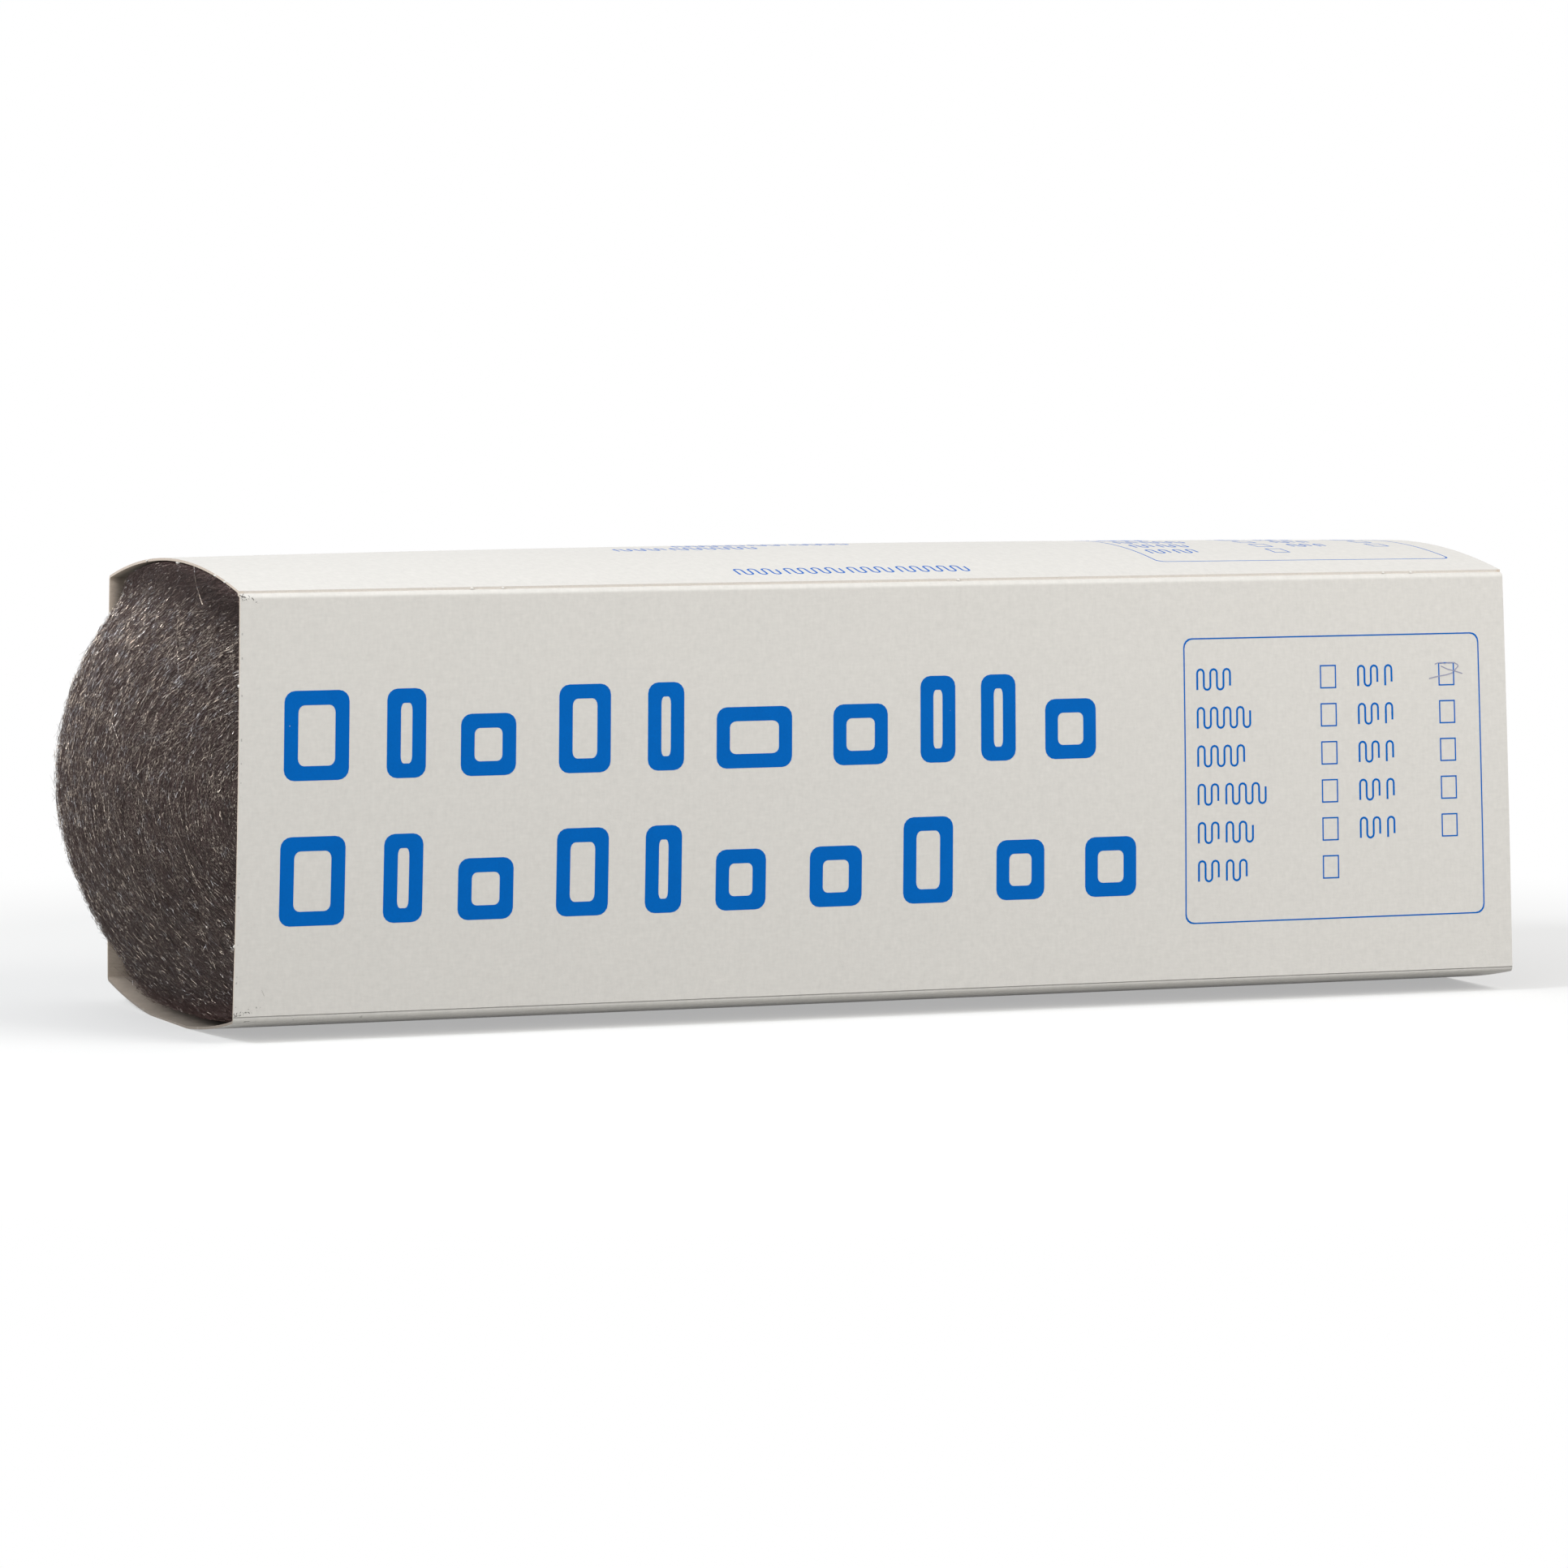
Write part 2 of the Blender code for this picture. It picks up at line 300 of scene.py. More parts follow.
class Graph:
    """A node tree that is built from code."""

    def __init__(self, tree):
        self.tree = tree
        self.tree.nodes.clear()

    def node(self, kind, inputs=None, **settings):
        """Add a node: its settings are set first, and then its sockets' values or links."""
        made = self.tree.nodes.new(kind)
        for name, value in settings.items():
            setattr(made, name, value)
        for key, value in (inputs or {}).items():
            if isinstance(value, Socket):
                self.tree.links.new(value.output, made.inputs[key])
            elif value is not None:
                made.inputs[key].default_value = value
        return Made(self, made)

    def mix_colour(self, factor, first, second):
        """Blend two colours."""
        return self.node("ShaderNodeMix", {0: factor, 6: first, 7: second}, data_type="RGBA")[2]

    def vector(self, operation, *values, **named):
        """Add a Vector Math node."""
        inputs = {**dict(enumerate(values)), **named}
        return self.node("ShaderNodeVectorMath", inputs, operation=operation)[0]

    def scale_vector(self, vector, factors):
        """Multiply a vector by three numbers."""
        return self.vector("MULTIPLY", vector, factors)

    def smooth(self, value, low, high):
        """Go smoothly from 0 at low to 1 at high."""
        limits = {0: value, 1: low, 2: high}
        return self.node("ShaderNodeMapRange", limits, interpolation_type="SMOOTHSTEP")[0]

    def band(self, value, centre, half_width):
        """Give 1 at a centre, which falls smoothly to 0 at a distance."""
        return self.smooth(abs(value - centre), half_width, 0.0)

    def noise(self, vector, scale, detail=2.0, roughness=0.5, stretch=None):
        """Give a noise value from 0 to 1, at a number of cells per metre."""
        if stretch is not None:
            vector = self.scale_vector(vector, stretch)
        inputs = {"Vector": vector, "Scale": scale, "Detail": detail, "Roughness": roughness}
        return self.node("ShaderNodeTexNoise", inputs)["Fac"]

    def dim(self, colour, shade):
        """Scale a varying colour by a varying shade."""
        return self.vector("SCALE", colour, Scale=shade)

    def tint(self, colour, shade):
        """Scale a plain colour by a varying shade."""
        return self.dim(colour[:3], shade)

    def attribute(self, name):
        """Read a named attribute of the surface."""
        return self.node("ShaderNodeAttribute", attribute_name=name)

    def split(self, vector):
        """Give a vector's three numbers."""
        made = self.node("ShaderNodeSeparateXYZ", {0: vector})
        return made[0], made[1], made[2]


def node_shaded(data):
    """Let a new material or world use nodes, and start its tree."""
    data.use_nodes = True
    return data, Graph(data.node_tree)


def finish_material(name, build):
    """Make a Principled material: build gives the values and links of the shader's sockets."""
    material, graph = node_shaded(bpy.data.materials.new(name))
    values, height = build(graph)
    if height is not None:
        depth, distance = height
        bump = graph.node(
            "ShaderNodeBump", {"Height": depth, "Distance": distance, "Strength": 1.0},
        )
        values["Normal"] = bump["Normal"]
    shader = graph.node("ShaderNodeBsdfPrincipled", values)
    graph.node("ShaderNodeOutputMaterial", {"Surface": shader["BSDF"]})
    return material


def specks(graph, vector, per_metre, radius, share):
    """Give a mask of rare small dots, in a share of the cells of a grid."""
    cells = graph.node("ShaderNodeTexVoronoi", {"Vector": vector, "Scale": per_metre})
    chance = graph.node("ShaderNodeSeparateColor", {0: cells["Color"]})["Red"]
    dot = cells["Distance"] < radius * per_metre
    return dot * (chance < share)


def lining_material(look):
    """Give the white lining its mottle, flecks, steel dust, and painted shade at the bottom crease.
    """

    # The painted shade line along the front's bottom fold: its height at the left end, slope and
    # width
    crease_start, crease_slope, crease_width = 0.00128, -0.0011, 0.00024
    # Dust in the front's left corners: how far in, height at the end, slope and half width
    corners = (((0.0090, 0.0), 0.0020, 0.22), ((0.0078, 0.0010), 0.0990, -0.28))
    corner_width = 0.0012

    def build(graph):
        place = graph.attribute(PLACE)["Vector"]
        x, y, z = graph.split(place)
        cloud = graph.noise(place, 70.0, 3.0)
        mottle = graph.noise(place, 420.0)
        along = graph.noise(place, 1500.0, stretch=(0.35, 1.0, 1.0))
        upright = graph.noise(place, 1300.0, stretch=(1.0, 0.35, 0.35))
        shade = 0.830 + 0.030 * cloud + 0.090 * mottle + 0.110 * along + 0.110 * upright
        front = graph.smooth(y, 0.0030, 0.0010)
        crease_height = crease_start + x * crease_slope
        # Painted shade: a dark line in the crease's groove, of a strength that varies along it, and
        # faint shade on the strip below it
        crease = graph.band(z, crease_height, crease_width) * front
        below = graph.smooth(z, crease_height, crease_height - 0.0002) * front
        crease_shade_strength = 0.6 + 0.5 * graph.noise(place, 120.0, stretch=(1.0, 0.0, 0.0))
        shade = shade * (1.0 - 0.30 * crease * crease_shade_strength) * (1.0 - 0.10 * below)
        white = graph.tint(look.lining, shade)
        grain = graph.noise(place, 2600.0)
        crumbs = graph.noise(place, 1500.0, 3.0, 0.7)
        low, high = (
            graph.smooth(x, *reach) * graph.band(z, height + x * slope, corner_width)
            for reach, height, slope in corners
        )
        corner = low.most(high) * front
        dust = graph.smooth(crumbs + corner * 0.16, 0.66, 0.70) * graph.smooth(corner, 0.05, 0.3)
        trail_dots = graph.noise(place, 1500.0, stretch=(0.4, 1.0, 1.0))
        trail = graph.smooth(x, 0.060, 0.004) * graph.smooth(z, 0.0013, 0.0003) * front
        trail = trail * graph.smooth(trail_dots, 0.64, 0.69)
        edge_dashes = graph.noise(place, 900.0, 1.0, stretch=(0.3, 0.0, 1.0))
        edge = graph.band(x, 0.00055, 0.00028) * front * graph.smooth(edge_dashes, 0.58, 0.66)
        flecks = specks(graph, place, 45.0, 0.00016, 0.22)
        fine_flecks = specks(graph, place, 190.0, 0.00008, 0.16)
        dirt = (dust * 0.9).most(trail * 0.6).most(edge * 0.40)
        dirt = dirt.most(flecks * 0.55).most(fine_flecks * 0.30)
        colour = graph.mix_colour(dirt, white, look.dust)
        height = grain * 0.35 + mottle * 0.5 + cloud * 0.5 - crease * 4.0
        return {"Base Color": colour, "Roughness": 0.46 + 0.10 * cloud}, (height, 0.00006)

    return finish_material("board_lining", build)


def back_material(look, length):
    """Give the board's grey back its pulp, steel dust and painted shade towards the wool, painted
    light high up.
    """

    def build(graph):
        place = graph.attribute(PLACE)["Vector"]
        x, y, z = graph.split(place)
        pulp = graph.noise(place, 420.0, 4.0, 0.6)
        fibre = graph.noise(place, 2400.0, 2.0, stretch=(0.25, 1.0, 1.0))
        # How far in from the nearer end, and how low or high on the wall
        depth = x.least(length - x)
        cloud = graph.noise(place, 130.0, 2.0)
        # Steel dust and painted shade, which both grow deeper in from the end
        dust_and_depth_shade = graph.smooth(depth + 0.004 * (cloud - 0.5), -0.002, 0.011)
        low = graph.smooth(z, 0.060, 0.020)
        # Both weigh most low down, and painted light makes the walls lighter high up
        dust_light_and_shade = (1.0 - (0.10 + 0.66 * low) * dust_and_depth_shade) * (1.0 + 0.90 * graph.smooth(z, 0.045, 0.098))
        # Darker towards the front low down: steel dust and painted shade near the wool
        dust_light_and_shade = dust_light_and_shade * (1.0 - 0.45 * graph.smooth(y, 0.095, 0.010) * low)
        # Painted shade that the wool casts high on the walls, a little way in
        high = graph.smooth(z, 0.055, 0.080)
        dust_light_and_shade = dust_light_and_shade * (1.0 - 0.72 * graph.smooth(depth, -0.0006, 0.0030) * high)
        # Painted shade on the top panel's underside
        dust_light_and_shade = dust_light_and_shade * (1.0 - 0.12 * graph.smooth(z, 0.0985, 0.0993))
        colour = graph.tint(look.back, (0.74 + 0.30 * pulp + 0.22 * fibre) * dust_light_and_shade)
        return {"Base Color": colour, "Roughness": 0.88}, (fibre + pulp, 0.00008)

    return finish_material("board_back", build)


def cut_material(look, length):
    """Give the raw edge its layers of pulp, with torn light spots. It is paler along the seam."""

    def build(graph):
        place = graph.attribute(PLACE)["Vector"]
        pulp = graph.noise(place, 1800.0, 3.0, 0.7)
        torn = graph.smooth(graph.noise(place, 330.0, 2.0), 0.60, 0.72)
        x, y, height = graph.split(place)
        colour = graph.tint(look.cut, (0.66 + 0.56 * pulp) * graph.smooth(height, -0.010, 0.012))
        along_seam = graph.smooth(x.least(length - x), 0.0006, 0.0016)
        colour = graph.mix_colour((torn * 0.35).most(along_seam * 0.62), colour, look.lining)
        return {"Base Color": colour, "Roughness": 0.9}, (pulp, 0.00012)

    return finish_material("board_cut", build)


def ink_material(name, colour, missing):
    """Give flat ink a slight mottle, with pinholes where the board shows."""

    def build(graph):
        place = graph.attribute(PLACE)["Vector"]
        cloud = graph.noise(place, 160.0, 3.0)
        grain = graph.noise(place, 1700.0, 2.0)
        pinholes = specks(graph, place, 330.0, 0.00011, missing)
        tint = graph.tint(colour, 0.84 + 0.14 * cloud + 0.18 * grain)
        tint = graph.mix_colour(pinholes * 0.7, tint, (0.62, 0.66, 0.72, 1.0))
        values = {
            "Base Color": tint, "Roughness": 0.44 + 0.10 * cloud, "Specular IOR Level": INK_SHINE,
        }
        return values, (grain, 0.00003)

    return finish_material(name, build)


def dashes(graph, laid, angle, width, length, limits):
    """Give thin dashes along the winding, turned by an angle: laid is in metres."""
    turned = graph.node(
        "ShaderNodeVectorRotate", {"Vector": laid, "Angle": angle}, rotation_type="Z_AXIS",
    )["Vector"]
    stretched = graph.scale_vector(turned, (1.0 / width, 1.0 / length, 1.0))
    return graph.smooth(graph.noise(stretched, 1.0, 1.0), *limits)


def swell_of(turn):
    """Give how far out of the sleeve a share of the winding is: 0 at its mouth, 1 at the tip."""
    return abs((turn * FULL_TURN).sine())


def mouth_shade(graph, turn):
    """Give how much light reaches the wool past the sleeve's mouth, by share of the winding."""
    return 0.08 + 0.92 * graph.smooth(swell_of(turn), 0.36, 0.72)


def lower_half(graph, turn):
    """Give 0 above and 1 in the shaded lower half of an end."""
    return graph.smooth(abs(turn - 0.5), 0.22, 0.38)


def painted_wool_light(graph, turn, shade):
    """Give the wool's painted shade below and under the top panel, and painted light at its foot
    and crest.
    """
    from_top = abs(turn - 0.5)
    foot = graph.smooth(from_top, 0.415, 0.465)
    crest = graph.smooth(from_top, 0.05, 0.01)
    lower = lower_half(graph, turn)
    return 0.68 + 0.32 * shade - 0.28 * lower * shade + 1.50 * foot + 1.20 * crest


def core_material(look):
    """Give the matted hank its tangle: dark gaps of painted shade and short painted glints along
    the winding.
    """

    # Each layer of painted glint dashes: its angle, width, length, and the noise where it starts
    # and is full
    layers = (
        (0.05, 0.00014, 0.0009, (0.61, 0.69)),
        (-0.20, 0.00012, 0.0008, (0.62, 0.70)),
        (0.32, 0.00012, 0.0007, (0.64, 0.71)),
    )

    def build(graph):
        uv = graph.node("ShaderNodeUVMap", uv_map=UV_NAME)["UV"]
        across, turn, zero = graph.split(uv)
        gathered = (across - look.gather_middle) / (1.0 - look.gather * swell_of(turn) ** 2.0)
        laid = graph.node("ShaderNodeCombineXYZ", {
            0: gathered * look.map_width, 1: turn * look.map_length, 2: zero,
        })[0]
        # Streaks of the core's tone, whose dark gaps are painted shade between the fibres
        matted = dashes(graph, laid, 0.0, 0.00055, 0.0075, (0.25, 0.75))
        glint = dashes(graph, laid, *layers[0])
        for layer in layers[1:]:
            glint = glint.most(dashes(graph, laid, *layer))
        patches = graph.smooth(graph.noise(laid, 160.0, 2.0), 0.30, 0.65)
        dull = graph.tint(look.core, 0.45 + 1.1 * matted)
        shade = mouth_shade(graph, turn)
        # Painted glints in the base colour, dimmed by painted shade near the sleeve's mouth
        colour = graph.mix_colour(
            glint * (0.25 + 0.75 * patches) * shade, dull, look.steel_bright,
        )
        colour = graph.dim(colour, painted_wool_light(graph, turn, shade))
        values = {
            "Base Color": colour, "Roughness": 0.50, "Metallic": 0.45,
            "Specular Tint": look.steel_edge,
        }
        return values, (matted + glint, 0.0003)

    return finish_material("wool_core", build)


def fibre_material(look):
    """Give the fibres their steel, from dull brown-grey to painted glints that start and stop."""

    def build(graph):
        place = graph.node("ShaderNodeTexCoord")["Object"]
        # Painted glints come and go along a fibre; painted light makes them brighter above, painted
        # shade rarer below
        spark = graph.smooth(graph.noise(place, 1700.0, 1.0), 0.45, 0.56)
        warmth = graph.noise(place, 330.0, 1.0)
        turn = graph.attribute(TURN)["Fac"]
        shade = mouth_shade(graph, turn)
        upper = graph.smooth(abs(turn - 0.5), 0.31, 0.14)
        tone = graph.attribute(TONE)["Fac"]
        lower = lower_half(graph, turn)
        # In the painted shade of the lower half, only the brightest glints stay
        rare = 0.30 + 1.0 * graph.smooth(tone, 0.45, 1.3)
        tone = tone * (1.0 - lower + lower * rare)
        tone = tone * (0.15 + 0.90 * spark) * shade * (0.94 + 0.58 * upper)
        bright = graph.mix_colour(
            graph.smooth(warmth, 0.36, 0.54), look.steel_cool, look.steel_bright,
        )
        colour = graph.mix_colour(tone, look.steel_dark, bright)
        # The same painted light and shade by place as on the core
        colour = graph.dim(colour, painted_wool_light(graph, turn, shade))
        values = {
            "Base Color": colour, "Roughness": 0.40 - 0.14 * tone.least(1.0),
            "Metallic": 0.55 + 0.45 * tone.least(1.0),
            "Specular Tint": look.steel_edge,
        }
        return values, None

    return finish_material("wool_fibre", build)


class Pack:
    """Where things are on the swollen, leaning pack."""

    def __init__(self, shape, wool):
        self.shape = shape
        self.wool = wool
        self.shift = Vector((0.0, 0.0, 0.0))
        corners = [
            self.formed(x, y, z)
            for x in (0.0, shape.length)
            for y in (0.0, shape.width)
            for z in (0.0, shape.height)
        ]
        low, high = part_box(SLEEVE_NODE)
        shift = []
        for axis in (0, 1):
            own = [corner[axis] for corner in corners]
            shift.append((low[axis] + high[axis]) / 2 - (min(own) + max(own)) / 2)
        self.shift = Vector((*shift, low.z))

    def foot_depth(self):
        """Give how far the flat strip lies below the bottom fold lines."""
        shape = self.shape
        return shape.bottom_bulge * crown(0.5 + 0.5 * shape.foot_width / shape.width)

    def formed(self, x, y, z):
        """Move a point of the straight pack to its place in the swollen, leaning pack."""
        shape = self.shape
        along = clamp(x / shape.length)
        across = clamp(y / shape.width)
        up = clamp(z / shape.height)
        top_swell = mix(shape.top_bulge_ends, shape.top_bulge_middle, crown(along))
        top_bulge = top_swell * crown(across)
        bottom_bulge = min(shape.bottom_bulge * crown(across), self.foot_depth())
        front_swell = mix(shape.front_bulge_left, shape.front_bulge_right, along)
        sideways = (across * shape.back_bulge - (1.0 - across) * front_swell) * crown(up)
        lean_left = mix(shape.front_lean_left, shape.back_lean_left, across)
        lean = mix(math.tan(lean_left), math.tan(shape.lean_right), along)
        return self.shift + Vector((
            x - shape.length / 2,
            y - shape.width / 2 + sideways + (z - shape.height / 2) * lean,
            z + self.foot_depth() + up * top_bulge - (1.0 - up) * bottom_bulge,
        ))

    def beside(self, place):
        """Place a point that is given from the near left bottom fold and doesn't swell or lean."""
        x, y, z = place
        return self.shift + Vector((
            x - self.shape.length / 2, y - self.shape.width / 2, z + self.foot_depth(),
        ))

    def on_panel(self, panel, along, across, lift):
        """Place a point on a panel: across is up the front, or back from the top's front fold."""
        if panel == FRONT:
            return self.formed(along, -lift, across)
        return self.formed(along, across, self.shape.height + lift)

    def straight(self, panel, along, across):
        """Give the straight pack's coordinates of a point on a panel."""
        if panel == FRONT:
            return Vector((along, 0.0, across))
        return Vector((along, across, self.shape.height))

    def fold_radius(self):
        """Give the outer radius of the sleeve's folds."""
        return self.shape.fold_inner_radius + self.shape.board

    def seam(self):
        """Give how far the top panel's raw edge stands behind the front panel's face."""
        return self.fold_radius() + self.shape.seam_ledge

    def wool_half_width(self):
        """Give half of the hank's width inside the sleeve."""
        return self.shape.width / 2 - self.shape.board - self.wool.clearance

    def wool_half_height(self):
        """Give half of the hank's height inside the sleeve, where its top clears the flap."""
        low = self.shape.board + self.wool.clearance
        high = self.shape.height - 2.0 * self.shape.board - self.wool.clearance
        return (high - low) / 2


def settings():
    """Give the scene's settings and the pack that they describe."""
    scene = bpy.context.scene
    return scene, Pack(scene.pack_shape, scene.wool_shape)


def placed_mesh():
    """Start an empty mesh, which keeps each point's place in the straight pack."""
    mesh_data = bmesh.new()
    return mesh_data, mesh_data.verts.layers.float_vector.new(PLACE)


def link_object(name, data):
    """Make an object of the scene."""
    item = bpy.data.objects.new(name, data)
    bpy.context.scene.collection.objects.link(item)
    return item


def link_mesh(name, mesh_data, materials, smooth=True):
    """Turn a bmesh into an object of the scene."""
    mesh = bpy.data.meshes.new(name)
    mesh_data.to_mesh(mesh)
    mesh_data.free()
    if smooth:
        mesh.shade_smooth()
        mesh.set_sharp_from_angle(angle=SMOOTH_ANGLE)
    for material in materials:
        mesh.materials.append(material)
    return link_object(name, mesh)


def evaluated_mesh(item):
    """Give the mesh that an object's curve or modifiers make."""
    bpy.context.view_layer.update()
    graph = bpy.context.evaluated_depsgraph_get()
    return bpy.data.meshes.new_from_object(item.evaluated_get(graph))


def bake_modifiers(item):
    """Replace an object's mesh by what its modifiers make of it."""
    mesh = evaluated_mesh(item)
    mesh.name = item.name
    item.modifiers.clear()
    item.data = mesh
    return item


def settle(piece, slot_name, *nodes):
    """Tie a finished piece to its body and hide the nodes that it stands for. Its slot name is not
    used.
    """
    if not piece.data.polygons:
        raise RuntimeError(f"{piece.name} came out empty")
    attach(piece, BODY)
    if nodes:
        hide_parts(*nodes)


def run(start, end, cells):
    """Give evenly spaced section points from start up to, but not at, end."""
    return [
        (mix(start[0], end[0], step / cells), mix(start[1], end[1], step / cells))
        for step in range(cells)
    ]


def held_run(start, end, cells, hold):
    """Give a run with one more point near each end, which keeps the fold's shading narrow."""
    span = math.hypot(end[0] - start[0], end[1] - start[1])
    near = (mix(start[0], end[0], hold / span), mix(start[1], end[1], hold / span))
    far = (mix(end[0], start[0], hold / span), mix(end[1], start[1], hold / span))
    return [start] + run(near, far, cells) + [far]


class SleeveMaker:
    """Makes the sleeve's board as one folded sheet."""

    BROAD_CELLS = 34
    SIDE_CELLS = 24
    FOOT_CELLS = 6
    LENGTH_CELLS = 72
    FOLD_CELLS = 6
    FLAP_CELLS = 8
    HOLD = 0.0004
    GLUE_OVERLAP = 0.00015
    MERGE = 0.000001
    # The material slots of the board's inner face and of its raw edges
    BACK = 1
    CUT = 2

    def __init__(self, pack):
        self.pack = pack
        self.shape = pack.shape

    def fold(self, centre, start_angle):
        """Give the points of a quarter-turn fold, clockwise about its centre."""
        points = []
        for step in range(self.FOLD_CELLS):
            angle = start_angle - QUARTER_TURN * step / self.FOLD_CELLS
            points.append((
                centre[0] + self.pack.fold_radius() * math.cos(angle),
                centre[1] + self.pack.fold_radius() * math.sin(angle),
            ))
        return points

    def section(self):
        """Give the outer face's section, clockwise from the top panel's raw edge."""
        shape = self.shape
        low = self.pack.fold_radius()
        high = shape.height - low
        far = shape.width - low
        flap_top = shape.height - shape.board
        flap_fold = flap_top - low
        seam = self.pack.seam()
        middle = shape.width / 2
        foot = shape.foot_width / 2
        half_cells = (self.BROAD_CELLS - self.FOOT_CELLS) // 2
        points = held_run((seam, shape.height), (far, shape.height), self.BROAD_CELLS, self.HOLD)
        points += self.fold((far, high), QUARTER_TURN)
        points += held_run((shape.width, high), (shape.width, low), self.SIDE_CELLS, self.HOLD)
        points += self.fold((far, low), 0.0)
        points += held_run((far, 0.0), (middle + foot, 0.0), half_cells, self.HOLD)
        points += run((middle + foot, 0.0), (middle - foot, 0.0), self.FOOT_CELLS)
        points += held_run((middle - foot, 0.0), (low, 0.0), half_cells, self.HOLD)
        points += self.fold((low, low), -QUARTER_TURN)
        points += held_run((0.0, low), (0.0, flap_fold), self.SIDE_CELLS, self.HOLD)
        points += self.fold((low, flap_fold), -0.5 * FULL_TURN)
        points += [(low, flap_top), (seam, flap_top)]
        return points

    def sheet(self, section, closed, end_margin):
        """Make a sheet from a grid: columns run along the pack and rows follow the section."""
        rows = section + section[:1] if closed else section
        row_count = len(rows) - 1
        mesh_data = bmesh.new()
        bmesh.ops.create_grid(
            mesh_data, x_segments=self.LENGTH_CELLS, y_segments=row_count, size=1.0,
        )
        place_layer = mesh_data.verts.layers.float_vector.new(PLACE)

        def row_of(point):
            """Give a grid point's row."""
            return (point.y + 1.0) / 2.0 * row_count

        for face in mesh_data.faces:
            if closed and row_of(face.calc_center_median()) > row_count - 1:
                face.material_index = self.CUT
        for vert in mesh_data.verts:
            row = round(row_of(vert.co))
            margin = end_margin(row)
            y, z = rows[row]
            x = mix(margin, self.shape.length - margin, (vert.co.x + 1.0) / 2.0)
            vert[place_layer] = (x, y, z)
            vert.co = self.pack.formed(x, y, z)
        bmesh.ops.remove_doubles(mesh_data, verts=mesh_data.verts, dist=self.MERGE)
        mesh_data.normal_update()
        top = self.pack.formed(self.shape.length / 2, self.shape.width / 2, self.shape.height)
        nearest = min(mesh_data.faces, key=lambda face: (face.calc_center_median() - top).length)
        if nearest.normal.z < 0.0:
            bmesh.ops.reverse_faces(mesh_data, faces=mesh_data.faces)
        return mesh_data

    def thicken(self, item, thickness):
        """Give a sheet its thickness, with the grey back inside and raw board at its rims."""
        solidify = item.modifiers.new("board thickness", "SOLIDIFY")
        solidify.thickness = thickness
        solidify.offset = -1.0
        solidify.use_even_offset = True
        solidify.material_offset = self.BACK
        solidify.material_offset_rim = self.CUT

    def flap(self, materials):
        """Make the glue flap that the front panel carries under the top panel."""
        shape = self.shape
        height = shape.height - shape.board + self.GLUE_OVERLAP
        root = self.pack.seam() + shape.board - self.GLUE_OVERLAP
        section = run((root, height), (shape.flap_width, height), self.FLAP_CELLS)
        section.append((shape.flap_width, height))

        def tapered_margin(row):
            return shape.flap_margin + shape.flap_taper * row / self.FLAP_CELLS

        mesh_data = self.sheet(section, False, tapered_margin)
        item = link_mesh("glue_flap", mesh_data, materials)
        self.thicken(item, shape.board + self.GLUE_OVERLAP / 2)
        return item

    def make(self, materials):
        """Make the sleeve, with its flap joined on."""
        mesh_data = self.sheet(self.section(), True, lambda row: 0.0)
        sleeve = link_mesh("sleeve_board", mesh_data, materials)
        self.thicken(sleeve, self.shape.board)
        flap = self.flap(materials)
        glue = sleeve.modifiers.new("glued flap", "BOOLEAN")
        glue.operation = "UNION"
        glue.solver = "MANIFOLD"
        glue.object = flap
        bake_modifiers(sleeve)
        bpy.data.objects.remove(flap, do_unlink=True)
        sleeve.data.set_sharp_from_angle(angle=SMOOTH_ANGLE)
        return sleeve


class NickMaker:
    """Makes the small torn tabs that a cutting die leaves on the board's edges."""

    # Places and widths along the seam, up the left front edge and across the left top edge
    SEAM_PLACES = (
        (0.0570, 0.0008), (0.0647, 0.0006), (0.1820, 0.0009), (0.2986, 0.0007), (0.3064, 0.0008),
    )
    FRONT_PLACES = ((0.0181, 0.0008), (0.0784, 0.0009))
    TOP_PLACES = ((0.0112, 0.0010), (0.0188, 0.0012), (0.0733, 0.0010))
    REACH = 0.00045
    # How much of the board's thickness a tab takes up
    TAB_SHARE = 0.8
    # A flake of lining that was torn up behind the top panel's left edge
    FLAKE_PLACE = (0.0003, 0.0495)
    FLAKE_SIZE = (0.0006, 0.0028, 0.0005)
    FLAKE_DROP = 0.0008
    JITTER = 0.15
    SEED = 5

    def __init__(self, pack):
        self.pack = pack
        self.draws = random.Random(self.SEED)

    def lump(self, mesh_data, place_layer, middle, axes):
        """Add a small torn lump: its middle and its three half axes in the straight pack."""
        made = bmesh.ops.create_icosphere(mesh_data, subdivisions=2, radius=1.0)
        for vert in made["verts"]:
            point = middle.copy()
            for axis, amount in zip(axes, vert.co):
                point += axis * (amount * self.draws.uniform(1.0 - self.JITTER, 1.0 + self.JITTER))
            vert[place_layer] = point
            vert.co = self.pack.formed(*point)

    def make(self, materials):
        """Make every nick and the flake."""
        shape = self.pack.shape
        mesh_data, place_layer = placed_mesh()
        right, back, up = Vector((1, 0, 0)), Vector((0, 1, 0)), Vector((0, 0, 1))
        half_board = shape.board / 2

        def tab(middle, along, out, down, width):
            """Add a tab that a cutting die leaves on an edge."""
            axes = (along * width / 2, out * self.REACH, down * half_board * self.TAB_SHARE)
            self.lump(mesh_data, place_layer, middle + down * half_board, axes)

        for x, width in self.SEAM_PLACES:
            tab(Vector((x, self.pack.seam(), shape.height)), right, -back, -up, width)
        for z, width in self.FRONT_PLACES:
            tab(Vector((0.0, 0.0, z)), up, -right, back, width)
        for y, width in self.TOP_PLACES:
            tab(Vector((0.0, y, shape.height)), back, -right, -up, width)
        flake = Vector((*self.FLAKE_PLACE, shape.height - self.FLAKE_DROP))
        size = Vector(self.FLAKE_SIZE) / 2
        axes = (right * size.x, back * size.y, up * size.z)
        self.lump(mesh_data, place_layer, flake, axes)
        bmesh.ops.recalc_face_normals(mesh_data, faces=mesh_data.faces)
        return link_mesh("edge_nicks", mesh_data, materials)


